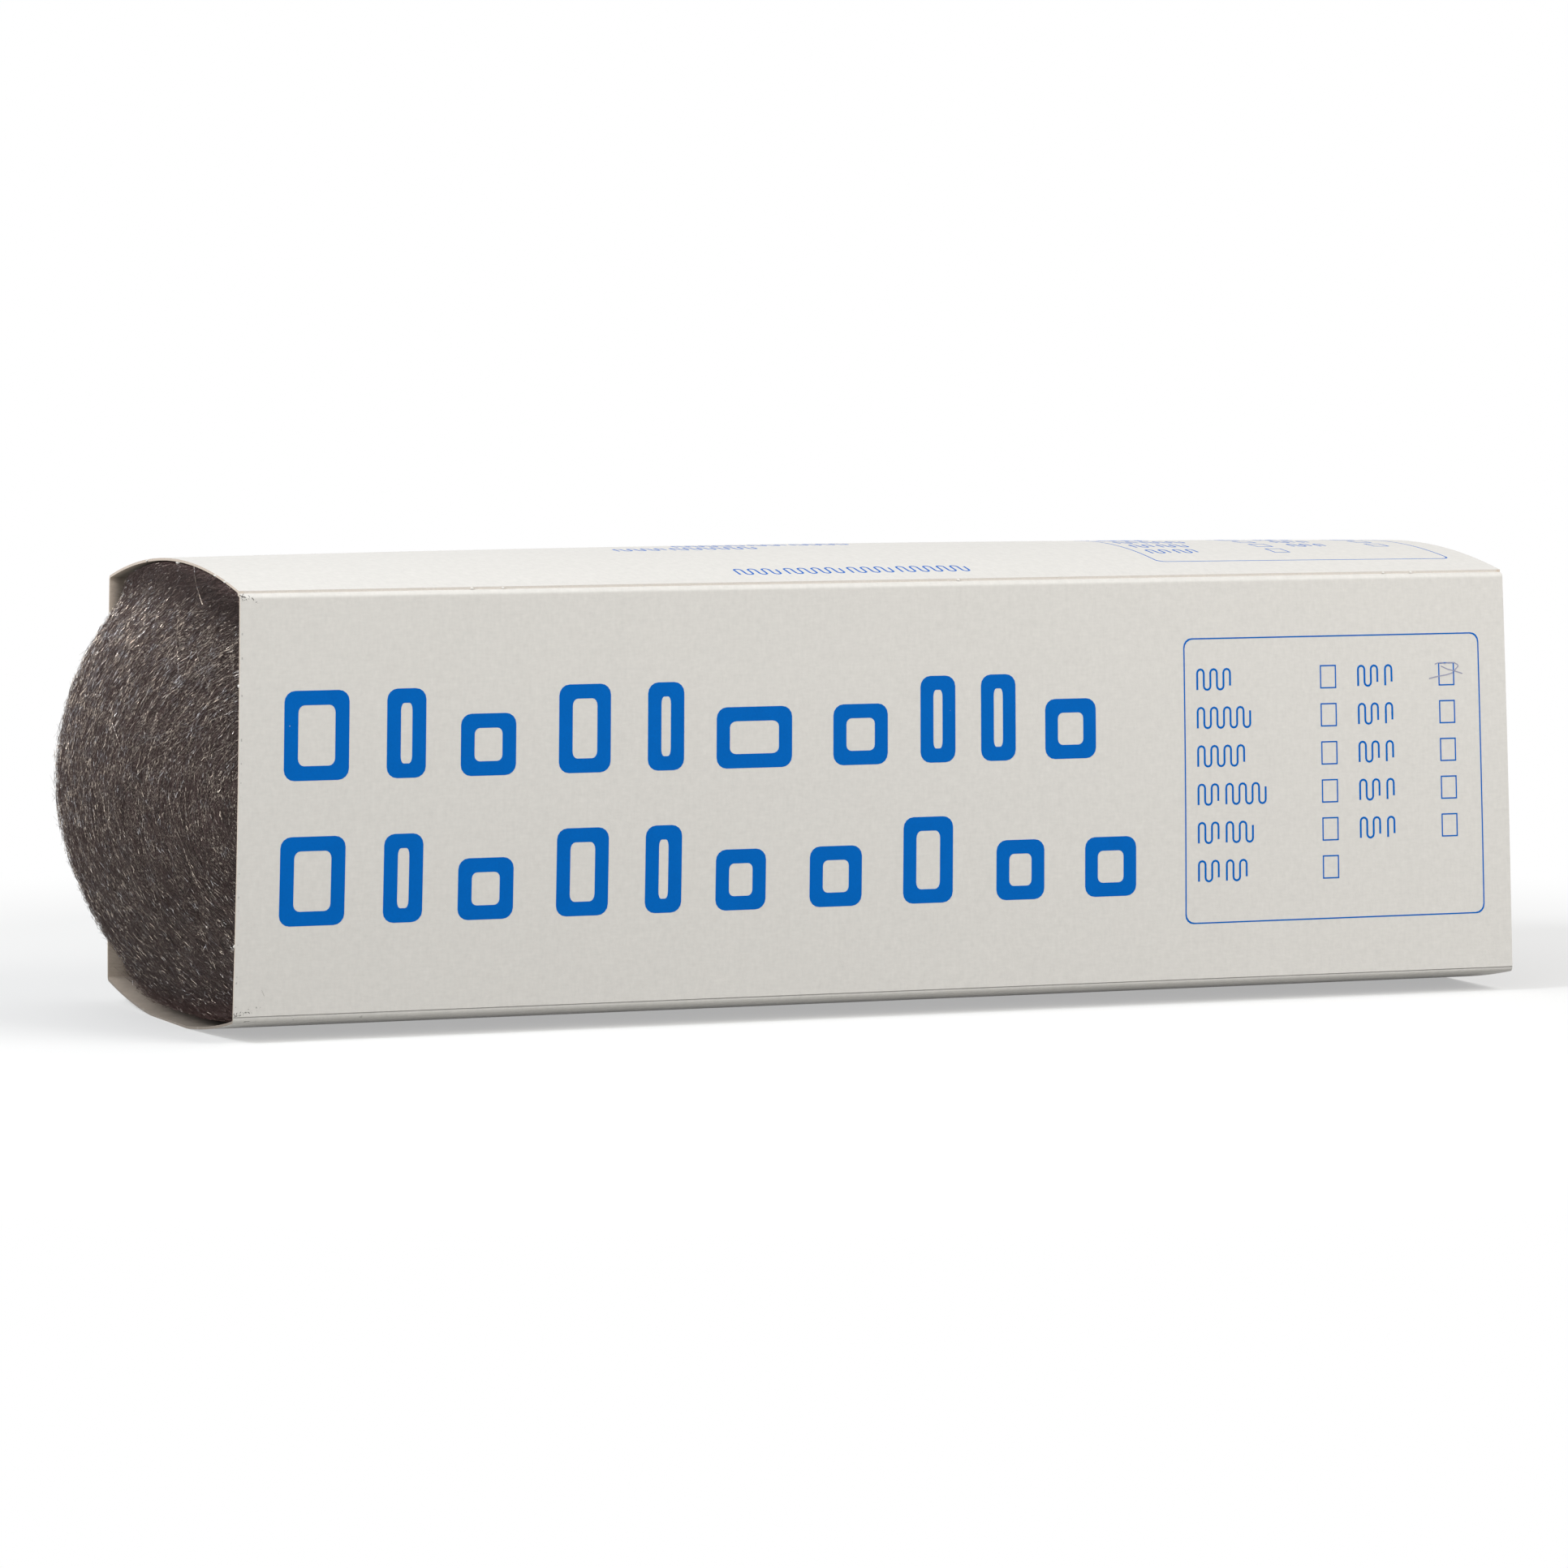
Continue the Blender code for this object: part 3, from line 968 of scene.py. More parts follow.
class PrintMaker:
    """Lays the print on the panels as thin flat shapes.

    Nothing on it can be read. Plain rounded frames stand for the large letters, and each
    small word is a meander of upright stems.
    """

    LOW = 0.0146
    TALL = 0.0209
    # Large marks by the height of their row's foot: where each starts, its width and its height
    MARK_ROWS = {
        0.0562: (
            (0.0108, 0.0158, TALL), (0.0358, 0.0096, TALL), (0.0540, 0.0137, LOW),
            (0.0784, 0.0130, TALL), (0.1008, 0.0092, TALL), (0.1183, 0.0194, LOW),
            (0.1484, 0.0142, LOW), (0.1712, 0.0092, TALL), (0.1872, 0.0092, TALL),
            (0.2043, 0.0136, LOW),
        ),
        0.0223: (
            (0.0103, 0.0158, TALL), (0.0355, 0.0096, TALL), (0.0538, 0.0137, LOW),
            (0.0782, 0.0130, TALL), (0.1005, 0.0092, TALL), (0.1184, 0.0128, LOW),
            (0.1425, 0.0135, LOW), (0.1668, 0.0130, TALL), (0.1913, 0.0127, LOW),
            (0.2149, 0.0137, LOW),
        ),
    }
    TABLE_LOW = (0.2419, 0.0147)
    TABLE_HIGH = (0.3245, 0.0848)
    TABLE_CORNER = 0.0022
    ROW_PITCH = 0.00940
    FIRST_ROW = 0.0746
    # Each column of the table: where its words start, its boxes' middle, stems of each row's words
    COLUMNS = (
        (0.2456, 0.2818, ((6,), (9,), (8,), (4, 7), (4, 5), (4, 4))),
        (0.2902, 0.3151, 5 * ((4, 2),)),
    )
    BOX_SIZE = (0.0045, 0.0058)
    BOX_CORNER = 0.0001
    WORD_GAP = 0.0022
    TOP_TABLE_BACK = 0.0133
    # Rows of small print on the top panel: start, distance from the front fold, words
    TOP_ROWS = (
        (0.1275, 0.0074, (7, 9, 7, 11)), (0.1090, 0.0400, (8, 13)), (0.1275, 0.0480, (11, 6, 9)),
    )
    CORNER_CELLS = 4
    BEND_CELLS = 6
    LONGEST_EDGE = 0.004
    PEN_WIDTH = 0.00026
    PEN_STROKES = (
        ((0.31022, 0.07351), (0.31161, 0.07382), (0.31314, 0.07408), (0.31509, 0.07435),
         (0.31690, 0.07482)),
        ((0.31363, 0.07658), (0.31472, 0.07608), (0.31568, 0.07569), (0.31747, 0.07527),
         (0.31870, 0.07490), (0.31967, 0.07461)),
        ((0.31192, 0.07704), (0.31268, 0.07733), (0.31379, 0.07743), (0.31469, 0.07714),
         (0.31573, 0.07739), (0.31739, 0.07735), (0.31835, 0.07685), (0.31855, 0.07648),
         (0.31797, 0.07589), (0.31747, 0.07541)),
    )

    def __init__(self, pack, look):
        self.pack = pack
        self.look = look
        self.mesh_data = None
        self.place_layer = None

    def start(self):
        """Start the mesh of a print."""
        self.mesh_data, self.place_layer = placed_mesh()

    def outline(self, low, high, corner):
        """Give a rounded rectangle's points, anticlockwise, with long sides cut up."""
        points = []
        centres = (
            (high[0] - corner, low[1] + corner, -0.25),
            (high[0] - corner, high[1] - corner, 0.0),
            (low[0] + corner, high[1] - corner, 0.25),
            (low[0] + corner, low[1] + corner, 0.5),
        )
        for across, up, start in centres:
            for step in range(self.CORNER_CELLS + 1):
                angle = FULL_TURN * (start + 0.25 * step / self.CORNER_CELLS)
                points.append((across + corner * math.cos(angle), up + corner * math.sin(angle)))
        result = []
        for here, there in zip(points, points[1:] + points[:1]):
            gap = math.dist(here, there)
            result += run(here, there, max(1, math.ceil(gap / self.LONGEST_EDGE)))
        return result

    def add_strip(self, panel, first, second, closed):
        """Add a flat strip between two lines of points on a panel, as a thin closed solid."""
        count = len(first)
        layers = []
        for lift in (self.look.lift, -self.look.sink):
            for line in (first, second):
                verts = []
                for along, across in line:
                    vert = self.mesh_data.verts.new(self.pack.on_panel(panel, along, across, lift))
                    vert[self.place_layer] = self.pack.straight(panel, along, across)
                    verts.append(vert)
                layers.append(verts)
        top_first, top_second, low_first, low_second = layers
        sides = (
            (top_first, top_second), (top_second, low_second),
            (low_second, low_first), (low_first, top_first),
        )
        for here, there in sides:
            for step in range(count if closed else count - 1):
                after = (step + 1) % count
                self.mesh_data.faces.new((here[step], here[after], there[after], there[step]))
        if not closed:
            for step in (0, count - 1):
                self.mesh_data.faces.new([layers[index][step] for index in (0, 1, 3, 2)])

    def add_line(self, panel, points, width):
        """Add a stroke of one width along points."""
        left, right = [], []
        for index, point in enumerate(points):
            before = points[max(0, index - 1)]
            after = points[min(len(points) - 1, index + 1)]
            way = Vector((after[0] - before[0], after[1] - before[1])).normalized()
            side = Vector((-way.y, way.x)) * width / 2
            left.append((point[0] + side.x, point[1] + side.y))
            right.append((point[0] - side.x, point[1] - side.y))
        self.add_strip(panel, left, right, False)

    def add_frame(self, panel, low, size, corner, stroke):
        """Add a rounded frame: its low corner, its size and its stroke's width."""
        high = (low[0] + size[0], low[1] + size[1])
        outer = self.outline(low, high, corner)
        middle = ((low[0] + high[0]) / 2, (low[1] + high[1]) / 2)
        shrink = (1.0 - 2.0 * stroke / size[0], 1.0 - 2.0 * stroke / size[1])
        inner = [
            tuple(mix(middle[axis], point[axis], shrink[axis]) for axis in (0, 1))
            for point in outer
        ]
        self.add_strip(panel, outer, inner, True)

    def meander(self, start, foot, stems):
        """Give the path of a word: upright stems that are joined by half circles."""
        pitch = self.look.small_pitch
        radius = pitch / 2
        low = foot + radius
        high = foot + self.look.small_height - radius
        points = [(start, low - radius)]
        for stem in range(stems):
            x = start + stem * pitch
            goes_up = stem % 2 == 0
            points += [(x, low), (x, high)] if goes_up else [(x, high), (x, low)]
            if stem == stems - 1:
                break
            for step in range(1, self.BEND_CELLS):
                angle = math.pi * (1.0 - step / self.BEND_CELLS)
                bend = radius * math.sin(angle)
                points.append((
                    x + radius + radius * math.cos(angle), high + bend if goes_up else low - bend,
                ))
        return points

    def add_words(self, panel, start, foot, words):
        """Add a row of small words."""
        for stems in words:
            self.add_line(panel, self.meander(start, foot, stems), self.look.small_stroke)
            start += (stems - 1) * self.look.small_pitch + self.WORD_GAP

    def add_table(self, panel, drop):
        """Add the framed table of rows and tick boxes, lower on the panel by a drop."""
        low = (self.TABLE_LOW[0], self.TABLE_LOW[1] - drop)
        size = [self.TABLE_HIGH[axis] - self.TABLE_LOW[axis] for axis in (0, 1)]
        self.add_frame(panel, low, size, self.TABLE_CORNER, self.look.line)
        for start, box, rows in self.COLUMNS:
            for row, words in enumerate(rows):
                middle = self.FIRST_ROW - row * self.ROW_PITCH - drop
                self.add_words(panel, start, middle - self.look.small_height / 2, words)
                corner = (box - self.BOX_SIZE[0] / 2, middle - self.BOX_SIZE[1] / 2)
                self.add_frame(panel, corner, self.BOX_SIZE, self.BOX_CORNER, self.look.line)

    def finish(self, name, material):
        """Close the print's mesh and make its object."""
        bmesh.ops.recalc_face_normals(self.mesh_data, faces=self.mesh_data.faces)
        return link_mesh(name, self.mesh_data, [material], smooth=False)

    def make_front(self, material):
        """Print the front panel."""
        look = self.look
        self.start()
        for foot, row in self.MARK_ROWS.items():
            for start, width, height in row:
                self.add_frame(
                    FRONT, (start, foot), (width, height), look.mark_corner, look.mark_stroke,
                )
        self.add_table(FRONT, 0.0)
        return self.finish("print_front", material)

    def make_top(self, material):
        """Print the top panel."""
        self.start()
        for start, foot, words in self.TOP_ROWS:
            self.add_words(TOP, start, foot, words)
        self.add_table(TOP, self.TABLE_LOW[1] - self.TOP_TABLE_BACK)
        return self.finish("print_top", material)

    def make_tick(self, material):
        """Draw the pen's tick over the first right-hand box."""
        self.start()
        for stroke in self.PEN_STROKES:
            self.add_line(FRONT, stroke, self.PEN_WIDTH)
        for vert in self.mesh_data.verts:
            vert.co.y -= self.look.lift
        return self.finish("pen_tick", material)


class Furrows:
    """The shallow grooves between the wool's turns, which wander as they go round the end."""

    DEPTH = 0.0009
    PITCHES = (0.0038, 0.0062, 0.0105)
    WANDER = (0.5, 1.1)
    SEED = 7
    FINE_DEPTH = 0.0002
    FINE_SCALE = Vector((900.0, 5.0, 0.0))

    def __init__(self):
        draws = random.Random(self.SEED)
        self.waves = []
        for pitch in self.PITCHES:
            phase = draws.uniform(0.0, FULL_TURN)
            wander = draws.uniform(*self.WANDER)
            wander_phase = draws.uniform(0.0, FULL_TURN)
            self.waves.append((FULL_TURN / pitch, phase, wander, wander_phase))

    def depth(self, y, turn):
        """Give the groove's depth at a place across the hank and an angle round its turn."""
        total = 0.0
        for rate, phase, wander, wander_phase in self.waves:
            total += math.sin(rate * y + phase + wander * math.sin(2.0 * turn + wander_phase))
        share = 0.5 + 0.5 * total / len(self.waves)
        fine = noise.noise(Vector((y * self.FINE_SCALE.x, turn * self.FINE_SCALE.y, 0.0)))
        return self.DEPTH * share + self.FINE_DEPTH * (0.5 + 0.5 * fine)


class WoolMaker:
    """Makes the hank from a drum that lies across the pack, as if wound flat round two rods."""

    TURN_STEPS = 200
    COLUMNS = 110
    FURROW_FADE = 0.4
    BODY_SINK = 0.0002
    # Where the high back corner falls in: across the hank, and up its end
    RECESS_ACROSS = (0.15, 1.0)
    RECESS_RISE = (0.50, 0.85)
    # How far past the glue flap the hank rises to the top panel, and how much of the gap it fills
    FLAP_STEP = (0.001, 0.006)
    SLACK_FILL = 0.7
    # How far fibres may stand past the sleeve's sides out there, and how much less high up
    BEYOND = 0.004
    BEYOND_LOSS = 0.8
    BEYOND_RISE = (0.3, 0.7)

    def __init__(self, pack):
        self.pack = pack
        self.furrows = Furrows()

    def shoulder_drop(self, across):
        """Give how far the rounded side edge drops, for a place -1 to 1 across."""
        wool = self.pack.wool
        into_edge = wool.shoulder - (1.0 - abs(across)) * self.pack.wool_half_width()
        share = clamp(into_edge / wool.shoulder)
        return wool.shoulder * (1.0 - math.sqrt(1.0 - share * share))

    def point(self, turn, across):
        """Place a point of the hank: turn is its angle round the winding, across is -1 to 1."""
        pack, wool, shape = self.pack, self.pack.wool, self.pack.shape
        swell = abs(math.cos(turn))
        rise = math.sin(turn)
        at_left = math.cos(turn) < 0.0
        drop = self.shoulder_drop(across)
        groove = self.furrows.depth(across * shape.width / 2, turn)
        groove = groove * clamp(swell / self.FURROW_FADE) ** 2 + self.BODY_SINK
        rim_start = wool.rim_start - wool.rim_tilt * rise
        rim = (rim_start + wool.reach_sides - drop) * swell ** wool.rim_power
        reach = (wool.reach_left if at_left else wool.reach_right) - wool.reach_sides
        plan = 1.0 - abs(across) ** wool.dome_side_power
        dome = reach * plan * swell ** wool.dome_power * (1.0 + wool.dome_rise * rise)
        recess = wool.corner_recess * smoothstep(across, *self.RECESS_ACROSS)
        recess *= smoothstep(rise, *self.RECESS_RISE)
        x = rim_start - rim - dome + groove * swell + recess
        if not at_left:
            x = shape.length - x
        narrow = 1.0 - wool.narrowing * swell ** 2
        y = shape.width / 2 + pack.wool_half_width() * across * narrow
        half = pack.wool_half_height()
        z = shape.board + wool.clearance + half + (half - drop - groove) * rise
        behind_flap = smoothstep(y, *(shape.flap_width + step for step in self.FLAP_STEP))
        slack = shape.board + self.BODY_SINK + self.SLACK_FILL * wool.clearance
        z += slack * behind_flap * clamp(rise) ** 2
        return pack.formed(x, y, z)

    def room(self, turn, across):
        """Give how far a fibre may stand off the hank there before it meets the sleeve."""
        above = self.pack.wool_half_height() * (1.0 - abs(math.sin(turn)))
        beside = self.pack.wool_half_width() * (1.0 - abs(across))
        high = smoothstep(math.sin(turn), *self.BEYOND_RISE)
        beyond = self.BEYOND * abs(math.cos(turn)) * (1.0 - self.BEYOND_LOSS * high)
        return self.BODY_SINK + min(above, beside + beyond)

    def make(self, material):
        """Make the hank's body, with a surface map that follows the winding."""
        mesh_data = bmesh.new()
        bmesh.ops.create_cone(
            mesh_data, cap_ends=True, segments=self.TURN_STEPS, radius1=1.0, radius2=1.0, depth=2.0,
        )
        staves = [e for e in mesh_data.edges if abs(e.verts[0].co.z - e.verts[1].co.z) > 1.0]
        bmesh.ops.subdivide_edges(mesh_data, edges=staves, cuts=self.COLUMNS - 1)
        uv_layer = mesh_data.loops.layers.uv.new(UV_NAME)
        room_layer = mesh_data.verts.layers.float.new(ROOM)
        half_step = 0.5 * FULL_TURN / self.TURN_STEPS

        def turn_of(point):
            """Give a point's angle round the drum."""
            return math.atan2(point.y, point.x) + half_step

        for face in mesh_data.faces:
            middle = self.share_of_turn(turn_of(face.calc_center_median()))
            for loop in face.loops:
                share = self.share_of_turn(turn_of(loop.vert.co))
                share += round(middle - share)
                loop[uv_layer].uv = (0.5 - 0.5 * loop.vert.co.z, share)
        for vert in mesh_data.verts:
            turn = turn_of(vert.co)
            across = -vert.co.z
            vert[room_layer] = self.room(turn, across)
            vert.co = self.point(turn, across)
        return link_mesh("wool_body", mesh_data, [material])

    @staticmethod
    def share_of_turn(turn):
        """Give an angle as a share of a full turn that starts at the underside."""
        return ((turn / FULL_TURN) + 0.25) % 1.0


class FibreMaker:
    """Scatters the steel fibres with Geometry Nodes, laid along the winding of the hank."""

    # The tree's inputs by kind of socket
    INPUTS = {
        "Geometry": ("Geometry",),
        "Int": ("Strands", "Points", "Seed"),
        "Float": (
            "Strand Length", "Strand Width", "Lift", "Tip Lift", "Swing", "Curl", "Turn Start",
            "Turn End", "Waves", "Brightness", "Rarity",
        ),
        "Material": ("Material",),
    }
    # Least and most of what is drawn for each strand
    ACROSS = (0.015, 0.985)
    ACROSS_LIMITS = (0.004, 0.996)
    LENGTHS = (0.45, 1.6)
    LIFTS = (0.05, 1.0)
    GIRTHS = (0.55, 1.20)
    GLEAM_GIRTH = 0.55
    # How much looser they lie at the foot and the top, and where: as a share of the winding
    LOOSER = ((2.5, 0.40, 0.46), (1.5, 0.10, 0.04))
    ROOM_SHARE = 0.8
    # How much thinner a strand is at its ends
    TAPER = 0.5

    def __init__(self, pack, body):
        self.pack = pack
        self.body = body
        self.tree = self.build_tree()

    def random(self, graph, seed, offset, low=0.0, high=1.0):
        """Draw a number for each strand."""
        made = graph.node(
            "FunctionNodeRandomValue", {2: low, 3: high, "Seed": seed + float(offset)},
            data_type="FLOAT",
        )
        return made[1]

    def build_tree(self):
        """Build the strands' tree."""
        tree = bpy.data.node_groups.new("steel fibres", "GeometryNodeTree")
        for kind, names in self.INPUTS.items():
            for name in names:
                tree.interface.new_socket(name, in_out="INPUT", socket_type="NodeSocket" + kind)
        tree.interface.new_socket("Geometry", in_out="OUTPUT", socket_type="NodeSocketGeometry")
        graph = Graph(tree)
        given = graph.node("NodeGroupInput")
        seed = given["Seed"]
        wool = self.pack.wool

        points = graph.node("GeometryNodePoints", {"Count": given["Strands"]})["Points"]
        start_across = self.random(graph, seed, 1, *self.ACROSS)
        spread = self.random(graph, seed, 2)
        start_turn = given["Turn Start"] + spread * (given["Turn End"] - given["Turn Start"])
        length = given["Strand Length"] * self.random(graph, seed, 3, *self.LENGTHS)
        swing = given["Swing"] * (self.random(graph, seed, 4, -1.0, 1.0)
                                  + self.random(graph, seed, 5, -1.0, 1.0))
        phase = self.random(graph, seed, 6, 0.0, FULL_TURN)
        curl = given["Curl"] * self.random(graph, seed, 7, -1.0, 1.0)
        lift = given["Lift"] * self.random(graph, seed, 8, *self.LIFTS) ** 1.5
        tip_lift = given["Tip Lift"] * self.random(graph, seed, 9) ** 2.0
        lean = self.random(graph, seed, 10, -1.0, 1.0)
        tone = self.random(graph, seed, 11) ** given["Rarity"] * given["Brightness"]
        girth = self.random(graph, seed, 12, *self.GIRTHS)
        girth = girth + self.GLEAM_GIRTH * tone.least(1.0) ** 3.0
        kept = {
            "strand": graph.node("GeometryNodeInputIndex")["Index"],
            "start_across": start_across, TURN: start_turn, "length": length,
            "swing": swing, "phase": phase, "curl": curl, "lift": lift, "tip_lift": tip_lift,
            "lean": lean, TONE: tone, "girth": girth,
        }
        for name, value in kept.items():
            points = graph.node(
                "GeometryNodeStoreNamedAttribute",
                {"Geometry": points, "Name": name, "Value": value},
                data_type="INT" if name == "strand" else "FLOAT", domain="POINT",
            )["Geometry"]

        doubled = graph.node(
            "GeometryNodeDuplicateElements", {"Geometry": points, "Amount": given["Points"]},
            domain="POINT",
        )
        step = doubled["Duplicate Index"] / (given["Points"] - 1.0)
        middle = step - 0.5

        def stored(name, data_type="FLOAT"):
            """Read a named attribute."""
            made = graph.node(
                "GeometryNodeInputNamedAttribute", {"Name": name}, data_type=data_type,
            )
            return made["Attribute"]

        wave = (middle * given["Waves"] * FULL_TURN + stored("phase")).sine()
        gathering = (stored(TURN) * (2.0 * FULL_TURN)).sine() * (
            -wool.gather * FULL_TURN * wool.map_width / wool.map_length)
        lean_in = (stored("start_across") - wool.gather_middle) * gathering
        drift = middle * stored("length") * (stored("swing") + lean_in) + stored("curl") * wave
        across = stored("start_across") + drift / wool.map_width
        turn = stored(TURN) + middle * stored("length") / wool.map_length
        least, most = self.ACROSS_LIMITS
        spot = graph.node("ShaderNodeCombineXYZ", {0: across.most(least).least(most), 1: turn})[0]
        uv_map = stored(UV_NAME, "FLOAT_VECTOR")

        def sampled(value, data_type="FLOAT_VECTOR"):
            """Read a value of the hank's surface below the strand's point."""
            inputs = {
                "Mesh": given["Geometry"], "Value": value, "Source UV Map": uv_map,
                "Sample UV": spot,
            }
            made = graph.node("GeometryNodeSampleUVSurface", inputs, data_type=data_type)
            return made["Value"]

        ground = sampled(graph.node("GeometryNodeInputPosition")[0])
        normal = sampled(graph.node("GeometryNodeInputNormal")[0])
        room = sampled(stored(ROOM), "FLOAT")
        tip = (middle * 2.0 * stored("lean")).most(0.0) ** 2.0
        from_top = abs(stored(TURN) - 0.5)
        loosening = 1.0
        for amount, *limits in self.LOOSER:
            loosening = loosening + amount * graph.smooth(from_top, *limits)
        stand = (stored("lift") + stored("tip_lift") * tip) * loosening
        stand = stand.least(room * self.ROOM_SHARE)
        place = graph.vector("ADD", ground, graph.dim(normal, stand))
        placed = graph.node(
            "GeometryNodeSetPosition", {"Geometry": doubled["Geometry"], "Position": place},
        )["Geometry"]
        curves = graph.node(
            "GeometryNodePointsToCurves",
            {"Points": placed, "Curve Group ID": stored("strand", "INT"), "Weight": step},
        )["Curves"]
        along = graph.node("GeometryNodeSplineParameter")["Factor"]
        end = abs(along * 2.0 - 1.0)
        radius = stored("girth") * (1.0 - self.TAPER * end * end)
        curves = graph.node(
            "GeometryNodeSetCurveRadius", {"Curve": curves, "Radius": radius},
        )["Curve"]
        profile = graph.node(
            "GeometryNodeCurvePrimitiveCircle",
            {"Resolution": 3, "Radius": given["Strand Width"] / 2.0}, mode="RADIUS",
        )["Curve"]
        tubes = graph.node(
            "GeometryNodeCurveToMesh",
            {"Curve": curves, "Profile Curve": profile, "Fill Caps": True},
        )
        if "Scale" in tubes.raw.inputs:
            radius_again = graph.node("GeometryNodeInputRadius")["Radius"]
            graph.tree.links.new(radius_again.output, tubes.raw.inputs["Scale"])
        mesh = graph.node("GeometryNodeSetShadeSmooth", {"Geometry": tubes["Mesh"]})["Geometry"]
        for name in kept:
            if name not in (TONE, TURN):
                inputs = {"Geometry": mesh, "Name": name}
                mesh = graph.node("GeometryNodeRemoveAttribute", inputs)["Geometry"]
        real = graph.node("GeometryNodeRealizeInstances", {"Geometry": mesh})["Geometry"]
        coloured = graph.node(
            "GeometryNodeSetMaterial", {"Geometry": real, "Material": given["Material"]},
        )["Geometry"]
        graph.node("NodeGroupOutput", {"Geometry": coloured})
        return tree

    def make(self, name, material, values):
        """Make one layer of fibres as a plain mesh: values are the tree's inputs by name."""
        item = link_object(name, self.body.data.copy())
        modifier = item.modifiers.new("fibres", "NODES")
        modifier.node_group = self.tree
        entries = self.tree.interface.items_tree
        sockets = {entry.name: entry.identifier for entry in entries if entry.in_out == "INPUT"}
        for key, value in {**values, "Material": material}.items():
            modifier[sockets[key]] = value
        return bake_modifiers(item)


class HangingStrand:
    """One long fibre that hangs from the top panel's left edge, in front of the wool."""

    # From the edge down to its tip, measured from the near left bottom fold
    PLACES = (
        (-0.0004, 0.0309, 0.1047), (-0.0006, 0.0299, 0.1033), (-0.0012, 0.0275, 0.1018),
        (-0.0022, 0.0230, 0.1005), (-0.0034, 0.0173, 0.0990), (-0.0046, 0.0120, 0.0979),
        (-0.0056, 0.0074, 0.0970),
    )
    RADIUS = 0.000070
    TIP_GROWTH = 2.2
    BRIGHTNESS = 1.0
    # A share of the winding at which the painted shade near the mouth leaves the strand at full
    # brightness
    UNSHADED_TURN = 0.75

    def make(self, pack, material):
        """Make the strand as a plain mesh with the fibres' attributes."""
        name = "hanging_strand"
        curve = bpy.data.curves.new(name, "CURVE")
        curve.dimensions = "3D"
        curve.bevel_depth = self.RADIUS
        curve.bevel_resolution = 1
        curve.use_fill_caps = True
        spline = curve.splines.new("NURBS")
        spline.points.add(len(self.PLACES) - 1)
        for point, place in zip(spline.points, self.PLACES):
            point.co = (*pack.beside(place), 1.0)
        for point in spline.points[-2:]:
            point.radius = self.TIP_GROWTH
        spline.use_endpoint_u = True
        path = link_object(name, curve)
        mesh = evaluated_mesh(path)
        bpy.data.objects.remove(path, do_unlink=True)
        for attribute, value in ((TONE, self.BRIGHTNESS), (TURN, self.UNSHADED_TURN)):
            layer = mesh.attributes.new(attribute, "FLOAT", "POINT")
            layer.data.foreach_set("value", [value] * len(mesh.vertices))
        mesh.materials.clear()
        mesh.materials.append(material)
        return link_object(name, mesh)


class WOOLPACK_OT_sleeve(bpy.types.Operator):
    """Make the folded board sleeve with its raw edges and nicks"""

    bl_idname = "woolpack.sleeve"
    bl_label = "Make Sleeve"

    def execute(self, context):
        """Make the sleeve."""
        scene, pack = settings()
        finish = scene.board_finish
        length = scene.pack_shape.length
        materials = [
            lining_material(finish), back_material(finish, length), cut_material(finish, length),
        ]
        sleeve = SleeveMaker(pack).make(materials)
        settle(sleeve, BOARD_SLOT, SLEEVE_NODE)
        nicks = NickMaker(pack).make([materials[0]])
        settle(nicks, BOARD_SLOT)
        return {"FINISHED"}


class WOOLPACK_OT_print(bpy.types.Operator):
    """Lay the print and the pen's tick on the panels"""

    bl_idname = "woolpack.print"
    bl_label = "Make Print"

    def execute(self, context):
        """Make the print."""
        scene, pack = settings()
        look = scene.print_finish
        ink = ink_material("blue_ink", look.ink, 0.10)
        pen = ink_material("pen_ink", look.pen, 0.0)
        maker = PrintMaker(pack, look)
        for piece in (maker.make_front(ink), maker.make_top(ink), maker.make_tick(pen)):
            settle(piece, BOARD_SLOT)
        return {"FINISHED"}


